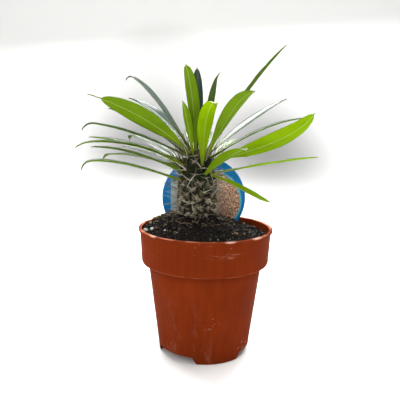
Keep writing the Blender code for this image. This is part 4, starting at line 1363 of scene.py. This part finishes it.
def blade_tree():
    """A leaf blade over its midrib: two folded faces that meet at waved edges, with a rib below."""
    tree, given = new_tree(
        "Leaf Blade",
        {
            "Rows": ("NodeSocketInt", 79),
            "Columns": ("NodeSocketInt", 17),
            "Fold": ("NodeSocketFloat", FOLD),
            "Wave": ("NodeSocketFloat", 0.5 * MM),
            "Wavelength": ("NodeSocketFloat", 14 * MM),
            "Rib": ("NodeSocketFloat", 0.35 * MM),
            "Seed": ("NodeSocketFloat", 0.0),
            "Age": ("NodeSocketFloat", 0.0),
            "Upper Face": ("NodeSocketMaterial", None),
            "Underside": ("NodeSocketMaterial", None),
        },
    )
    grid = add(tree, "GeometryNodeMeshGrid", None, 1.0, 1.0, given["Rows"], given["Columns"])
    place = add(tree, "ShaderNodeSeparateXYZ", None, add(tree, "GeometryNodeInputPosition"))
    share = add(tree, "ShaderNodeMath", "ADD", place.outputs["X"], 0.5)
    last = add(tree, "ShaderNodeMath", "SUBTRACT", given["Rows"], 1.0)
    row = add(tree, "ShaderNodeMath", "MULTIPLY", share, last)
    row = add(tree, "ShaderNodeMath", "ROUND", row)
    across = add(tree, "ShaderNodeMath", "MULTIPLY", place.outputs["Y"], -2.0)
    found = {}
    for key in ("position", "side", "normal", "size"):
        if key == "position":
            value = add(tree, "GeometryNodeInputPosition")
        else:
            value = add(tree, "GeometryNodeInputNamedAttribute", AS_VECTOR, key)
        sources = {"Geometry": given["Geometry"], "Value": value, "Index": row}
        found[key] = add(tree, "GeometryNodeSampleIndex", AS_VECTOR | {"domain": "POINT"}, **sources)
    size = add(tree, "ShaderNodeSeparateXYZ", None, found["size"])
    half, thick, along = size.outputs["X"], size.outputs["Y"], size.outputs["Z"]
    reach = add(tree, "ShaderNodeMath", "MULTIPLY", across, half)
    apart = add(tree, "ShaderNodeMath", "ABSOLUTE", reach)
    # The blade folds up from the midrib, and its edges wave.
    folded = add(tree, "ShaderNodeMath", "MULTIPLY", apart, given["Fold"])
    offset = add(tree, "ShaderNodeCombineXYZ", None, 0.0, 0.0, given["Seed"])
    middle = add(tree, "ShaderNodeVectorMath", "SCALE", found["side"], Scale=reach)
    middle = add(tree, "ShaderNodeVectorMath", "ADD", middle, found["position"])
    ripple_place = add(tree, "ShaderNodeVectorMath", "ADD", middle, offset)
    pitch = add(tree, "ShaderNodeMath", "DIVIDE", 1.0, given["Wavelength"])
    ripple = add(tree, "ShaderNodeTexNoise", None, ripple_place, Scale=pitch, Detail=1.0)
    ripple = add(tree, "ShaderNodeMath", "SUBTRACT", ripple, 0.5)
    edge = add(tree, "ShaderNodeMath", "POWER", across, 2.0)
    ripple = add(tree, "ShaderNodeMath", "MULTIPLY", ripple, edge)
    wide = add(tree, "ShaderNodeMapRange", None, half, WAVE_FROM * MM, WAVE_FULL * MM, 0.0, 2.0)
    ripple = add(tree, "ShaderNodeMath", "MULTIPLY", ripple, wide)
    ripple = add(tree, "ShaderNodeMath", "MULTIPLY", ripple, given["Wave"])
    lift = add(tree, "ShaderNodeMath", "ADD", folded, ripple)
    # The two faces close on each other at the edges and at both ends.
    rim = add(tree, "ShaderNodeMath", "POWER", edge, 2.0)
    lens = add(tree, "ShaderNodeMath", "SUBTRACT", 1.0, rim)
    first = add(tree, "ShaderNodeMath", "COMPARE", row, 0.0, 0.5)
    final = add(tree, "ShaderNodeMath", "COMPARE", row, last, 0.5)
    ends = add(tree, "ShaderNodeMath", "ADD", first, final)
    open_rows = add(tree, "ShaderNodeMath", "SUBTRACT", 1.0, ends)
    lens = add(tree, "ShaderNodeMath", "MULTIPLY", lens, open_rows)
    body = add(tree, "ShaderNodeMath", "MULTIPLY", lens, thick)
    body = add(tree, "ShaderNodeMath", "MULTIPLY", body, 0.5)
    # The rib stands out below, and a shallow groove follows it above.
    ridge = add(tree, "ShaderNodeMapRange", SMOOTH, apart, 0.0, RIB_HALF_WIDTH * MM, 1.0, 0.0)
    ridge = add(tree, "ShaderNodeMath", "MULTIPLY", ridge, given["Rib"])
    ridge = add(tree, "ShaderNodeMath", "MULTIPLY", ridge, lens)
    below = add(tree, "ShaderNodeMath", "ADD", body, ridge)
    groove = add(tree, "ShaderNodeMath", "MULTIPLY", ridge, GROOVE_DEPTH)
    above = add(tree, "ShaderNodeMath", "SUBTRACT", body, groove)
    up = add(tree, "ShaderNodeMath", "ADD", lift, above)
    down = add(tree, "ShaderNodeMath", "SUBTRACT", lift, below)
    faces = []
    store = "GeometryNodeStoreNamedAttribute"
    vectors, numbers = ({"domain": "POINT"} | kind for kind in (AS_VECTOR, AS_NUMBER))
    for height, look in ((up, "Upper Face"), (down, "Underside")):
        raised = add(tree, "ShaderNodeVectorMath", "SCALE", found["normal"], Scale=height)
        raised = add(tree, "ShaderNodeVectorMath", "ADD", raised, middle)
        # What a material needs to know of the blade is stored before the grid is moved.
        known = add(tree, "ShaderNodeCombineXYZ", None, reach, half, along)
        stored = add(tree, store, vectors, grid, Name="blade", Value=known)
        stored = add(tree, store, numbers, stored, Name="age", Value=given["Age"])
        placed = add(tree, "GeometryNodeSetPosition", None, stored, Position=raised)
        if look == "Underside":
            placed = add(tree, "GeometryNodeFlipFaces", None, placed)
        faces.append(add(tree, "GeometryNodeSetMaterial", None, placed, Material=given[look]))
    joined = add(tree, "GeometryNodeJoinGeometry")
    for face in faces:
        tree.links.new(face.outputs[0], joined.inputs[0])
    welded = add(tree, "GeometryNodeMergeByDistance", None, joined, Distance=WELD * MM)
    add(tree, "NodeGroupOutput", None, welded)
    return tree


def blade_look(name, base, through, share, roughness, shine, rib_hex, rib_strength):
    """A living leaf face: waxy skin with feathered veins, light through the blade, and a dry tip."""
    look, tree, shader, place = new_look(name, roughness, shine)
    age = add(tree, "ShaderNodeAttribute", {"attribute_name": "age"}).outputs["Fac"]
    blade = add(tree, "ShaderNodeAttribute", {"attribute_name": "blade"}).outputs["Vector"]
    axes = add(tree, "ShaderNodeSeparateXYZ", None, blade)
    off = add(tree, "ShaderNodeMath", "ABSOLUTE", axes.outputs["X"])
    half, along = axes.outputs["Y"], axes.outputs["Z"]
    # Growth leaves soft clouds of a darker green, 9 mm across.
    clouds = add(tree, "ShaderNodeTexNoise", None, place, Scale=cells(9.09), Detail=3.0)
    tone = add(tree, "ShaderNodeMapRange", None, clouds, 0.3, 0.7, 0.0, 1.0)
    darker = tuple(c * 0.7 for c in base)
    colour = add(tree, "ShaderNodeMix", IN_COLOUR, tone, A=darker, B=base)
    # Side veins run out from the midrib every 2 mm and slant towards the tip.
    rib_colour = linear_rgb(rib_hex)
    slant = add(tree, "ShaderNodeMath", "MULTIPLY", off, VEIN_SLANT)
    length = add(tree, "ShaderNodeMath", "MULTIPLY", along, USUAL_LENGTH * MM)
    run = add(tree, "ShaderNodeMath", "SUBTRACT", length, slant)
    stray = add(tree, "ShaderNodeTexNoise", None, place, Scale=cells(3.33), Detail=1.0)
    stray = add(tree, "ShaderNodeMath", "MULTIPLY", stray, VEIN_STRAY * MM)
    run = add(tree, "ShaderNodeMath", "ADD", run, stray)
    vein = add(tree, "ShaderNodeMath", "PINGPONG", run, VEIN_SPACING / 2 * MM)
    vein = add(tree, "ShaderNodeMapRange", None, vein, 0.0, 0.5 * MM, 0.12, 0.0)
    vein = add(tree, "ShaderNodeMath", "MULTIPLY", vein, tone)
    colour = add(tree, "ShaderNodeMix", IN_COLOUR, vein, A=colour, B=rib_colour)
    # An old leaf turns to a dull grey-green, and a shaded one does too as painted shade. Below 0 a blade
    # turns yellower, for youth and as painted light through a backlit blade.
    colour = add(tree, "ShaderNodeMix", IN_COLOUR, age, A=colour, B=linear_rgb("3E5444"))
    young = add(tree, "ShaderNodeMath", "MULTIPLY", age, -1.0)
    colour = add(tree, "ShaderNodeMix", IN_COLOUR, young, A=colour, B=linear_rgb("A4C400"))
    # The midrib is pale.
    rib = add(tree, "ShaderNodeMapRange", SMOOTH, off, 0.05 * MM, 0.38 * MM, rib_strength, 0.0)
    colour = add(tree, "ShaderNodeMix", IN_COLOUR, rib, A=colour, B=rib_colour)
    # The stalk is yellow-green, and where the end is thin it is dry and brown.
    stalk = add(tree, "ShaderNodeMapRange", None, along, 0.0, 0.35, 0.7, 0.0)
    colour = add(tree, "ShaderNodeMix", IN_COLOUR, stalk, A=colour, B=linear_rgb("7E8C10"))
    thin = add(tree, "ShaderNodeMapRange", None, half, 0.42 * MM, 0.9 * MM, 1.0, 0.0)
    late = add(tree, "ShaderNodeMapRange", None, along, 0.84, 0.96, 0.0, 1.0)
    dry = add(tree, "ShaderNodeMath", "MULTIPLY", thin, late)
    colour = add(tree, "ShaderNodeMix", IN_COLOUR, dry, A=colour, B=linear_rgb("7C6C50"))
    shader.inputs["IOR"].default_value = 1.45
    # Fine unevenness of the skin, 1 mm across, and the veins.
    fine = add(tree, "ShaderNodeTexNoise", None, place, Scale=cells(1.11), Detail=2.0)
    relief_height = add(tree, "ShaderNodeMath", "ADD", fine, vein)
    dress(tree, shader, colour, relief_height, 0.3, 0.1)
    # Light comes through the blade in its own colour, and less of it through an old one. The same value
    # darkens it as painted shade in a leaf in shadow.
    tinted = IN_COLOUR | {"blend_type": "MULTIPLY"}
    glow = add(tree, "ShaderNodeMix", tinted, 0.35, A=through, B=colour)
    glow = add(tree, "ShaderNodeMix", IN_COLOUR, age, A=glow, B=linear_rgb("141C0C"))
    passed = add(tree, "ShaderNodeBsdfTranslucent", None, glow)
    mixed = add(tree, "ShaderNodeMixShader", None, share, shader, passed)
    tree.links.new(mixed.outputs["Shader"], tree.nodes["Material Output"].inputs["Surface"])
    return look


class OBJECT_OT_leaves(bpy.types.Operator):
    """Adds the long leaves with their folded blades, midribs and dry tips"""

    bl_idname = "object.pachypodium_leaves"
    bl_label = "Leaves"

    def execute(self, context):
        settings = context.scene.pachypodium_leaves
        through = tuple(settings.light_colour)
        pale = linear_rgb("F0FFB0")
        face, back = tuple(settings.upper_colour), tuple(settings.under_colour)
        # The upper face is dark, and its wax shines white where it faces a lamp.
        upper = blade_look(
            "Leaf upper face, waxy",
            face,
            pale,
            share=0.4,
            roughness=0.24,
            shine=0.35,
            rib_hex="6F8C3C",
            rib_strength=0.4,
        )
        # The underside is lighter, matt and lit by what comes through the blade.
        under = blade_look(
            "Leaf underside, matt",
            back,
            through,
            share=0.55,
            roughness=0.6,
            shine=0.06,
            rib_hex="C8E08A",
            rib_strength=0.6,
        )
        tree = blade_tree()
        places = tubercle_places()
        for number, leaf in enumerate(LEAVES, start=1):
            mesh, rows = midrib_mesh(leaf, places)
            values = {
                "Rows": rows,
                "Wave": settings.wave,
                "Seed": number * 0.1,
                "Fold": FOLDS.get(number, FOLD),
                "Age": AGE_AND_SHADE.get(number, 0.0),
                "Upper Face": upper,
                "Underside": under,
            }
            blade = grown(f"blade_{number:02d}", mesh, tree, values)
            finish_piece(blade, "leaf", f"leaf_{number:02d}", angle=180)
        return {"FINISHED"}


# Stage

# The camera was fitted to the photograph. Its focal length is in pixels of a frame 400 wide.
CAMERA_PLACE = (0.0, -341.7, 155.9)
CAMERA_AIM = (-3.8, 0.0, 97.3)
CAMERA_ROLL = 1.0
FOCAL_PIXELS = 548.6
FRAME_PIXELS = 400
SENSOR_WIDTH = 36.0
LAMPS_AIM = (0, 0, 100)
# Each lamp: name, place, width and height, and strength in watts.
SOFTBOXES = (
    ("back_softbox", (-100, 600, 750), (1100, 350), 22.0),
    ("overhead_softbox", (200, 0, 900), (600, 600), 7.0),
    ("front_softbox", (-500, -1100, 700), (1000, 1000), 7.5),
)
SKY_STRENGTH = 0.5
# Centre and reach of each painted shadow: a soft grey patch of the backdrop.
PAINTED_SHADOWS = (((-110, 740, 70), (280, 340, 2000)), ((110, 720, 70), (280, 340, 2000)))


def add_camera():
    """The fitted camera, rolled about its own axis."""
    place = Vector(CAMERA_PLACE) * MM
    forward = (Vector(CAMERA_AIM) * MM - place).normalized()
    right = forward.cross(Vector((0, 0, 1))).normalized()
    up = right.cross(forward)
    roll = math.radians(CAMERA_ROLL)
    turned_right = right * math.cos(roll) + up * math.sin(roll)
    turned_up = up * math.cos(roll) - right * math.sin(roll)
    data = bpy.data.cameras.new("camera")
    data.sensor_width = SENSOR_WIDTH
    data.lens = SENSOR_WIDTH * FOCAL_PIXELS / FRAME_PIXELS
    data.clip_start = 0.01
    camera = bpy.data.objects.new("camera", data)
    bpy.context.scene.collection.objects.link(camera)
    axes = Matrix((turned_right, turned_up, -forward)).transposed()
    camera.matrix_world = Matrix.Translation(place) @ axes.to_4x4()
    bpy.context.scene.camera = camera


def add_softbox(name, place, size, watts):
    """A rectangular lamp that faces the plant."""
    data = bpy.data.lights.new(name, "AREA")
    data.shape = "RECTANGLE"
    data.size, data.size_y = (side * MM for side in size)
    data.energy = watts
    lamp = bpy.data.objects.new(name, data)
    bpy.context.scene.collection.objects.link(lamp)
    lamp.location = Vector(place) * MM
    lamp.rotation_euler = (Vector(LAMPS_AIM) - Vector(place)).to_track_quat("-Z", "Y").to_euler()


def painted_floor(settings):
    """Matt studio paint: nearly white, with a faint roller texture 3 mm across."""
    look, tree, shader, place = new_look("Matt studio paint", 0.9, 0.2)
    stipple = add(tree, "ShaderNodeTexNoise", None, place, Scale=cells(2.86), Detail=2.0)
    # Two painted shadows, soft grey patches of the backdrop, lie behind the leaves, left and right of the
    # stem.
    left, right = [spot(tree, place, centre, reach) for centre, reach in PAINTED_SHADOWS]
    patch = add(tree, "ShaderNodeMath", "MAXIMUM", left, right)
    patch = add(tree, "ShaderNodeMapRange", SMOOTH, patch, 0.0, 1.0, 0.0, 1.0)
    patch = add(tree, "ShaderNodeMath", "POWER", patch, 0.55)
    shadow_grey = tuple(c * 0.13 for c in settings.floor_colour)
    colour = add(tree, "ShaderNodeMix", IN_COLOUR, patch, A=settings.floor_colour, B=shadow_grey)
    dress(tree, shader, colour, stipple, 0.05, 0.2)
    return look


def backdrop_mesh(half=3.0, front=-2.0, back=1.2, height=2.4, radius=0.8, steps=16):
    """A floor that sweeps up into a wall, with its sizes in metres."""
    line = [(front, 0.0), (back - radius, 0.0)]
    for i in range(1, steps + 1):
        angle = math.pi / 2 * i / steps
        line.append((back - radius + radius * math.sin(angle), radius - radius * math.cos(angle)))
    line.append((back, height))
    bm = bmesh.new()
    rows = [[bm.verts.new((x, y, z)) for x in (-half, half)] for y, z in line]
    for (a, b), (c, d) in zip(rows, rows[1:]):
        bm.faces.new((a, b, d, c))
    mesh = bpy.data.meshes.new("backdrop")
    bm.to_mesh(mesh)
    bm.free()
    return mesh


class OBJECT_OT_studio(bpy.types.Operator):
    """Adds the pale floor, the soft lamps and the camera"""

    bl_idname = "object.pachypodium_studio"
    bl_label = "Studio"

    def execute(self, context):
        settings = context.scene.pachypodium_stage
        floor = add_object("studio_floor", backdrop_mesh(), painted_floor(settings))
        floor.data.shade_smooth()
        for name, place, size, watts in SOFTBOXES:
            add_softbox(name, place, size, watts * settings.light)
        world = bpy.data.worlds.new("studio")
        world.use_nodes = True
        sky = world.node_tree.nodes["Background"]
        sky.inputs["Color"].default_value = (1, 1, 1, 1)
        sky.inputs["Strength"].default_value = SKY_STRENGTH * settings.light
        context.scene.world = world
        context.scene.view_settings.view_transform = "Standard"
        add_camera()
        return {"FINISHED"}


class VIEW3D_PT_pachypodium(bpy.types.Panel):
    """Lists the pieces and their settings"""

    bl_label = "Potted Pachypodium"
    bl_idname = "VIEW3D_PT_pachypodium"
    bl_space_type = "VIEW_3D"
    bl_region_type = "UI"
    bl_category = "Pachypodium"

    def draw(self, context):
        for operator, group in STEPS:
            box = self.layout.box()
            box.operator(operator.bl_idname)
            settings = getattr(context.scene, group)
            for key in settings.bl_rna.properties.keys():
                if key not in ("rna_type", "name"):
                    box.prop(settings, key)


GROUPS = {
    "pachypodium_pot": PotSettings,
    "pachypodium_tag": TagSettings,
    "pachypodium_soil": SoilSettings,
    "pachypodium_stem": StemSettings,
    "pachypodium_leaves": LeafSettings,
    "pachypodium_stage": StageSettings,
}
STEPS = (
    (OBJECT_OT_nursery_pot, "pachypodium_pot"),
    (OBJECT_OT_plant_tag, "pachypodium_tag"),
    (OBJECT_OT_potting_soil, "pachypodium_soil"),
    (OBJECT_OT_spiny_stem, "pachypodium_stem"),
    (OBJECT_OT_leaves, "pachypodium_leaves"),
    (OBJECT_OT_studio, "pachypodium_stage"),
)
CLASSES = (*GROUPS.values(), *(operator for operator, _ in STEPS), VIEW3D_PT_pachypodium)


def register():
    for cls in CLASSES:
        bpy.utils.register_class(cls)
    for key, group in GROUPS.items():
        setattr(bpy.types.Scene, key, bpy.props.PointerProperty(type=group))


def unregister():
    for key in GROUPS:
        delattr(bpy.types.Scene, key)
    for cls in reversed(CLASSES):
        bpy.utils.unregister_class(cls)


def main():
    register()
    for operator, _ in STEPS:
        name = operator.bl_idname.split(".")[1]
        getattr(bpy.ops.object, name)()


if __name__ == "__main__":
    main()
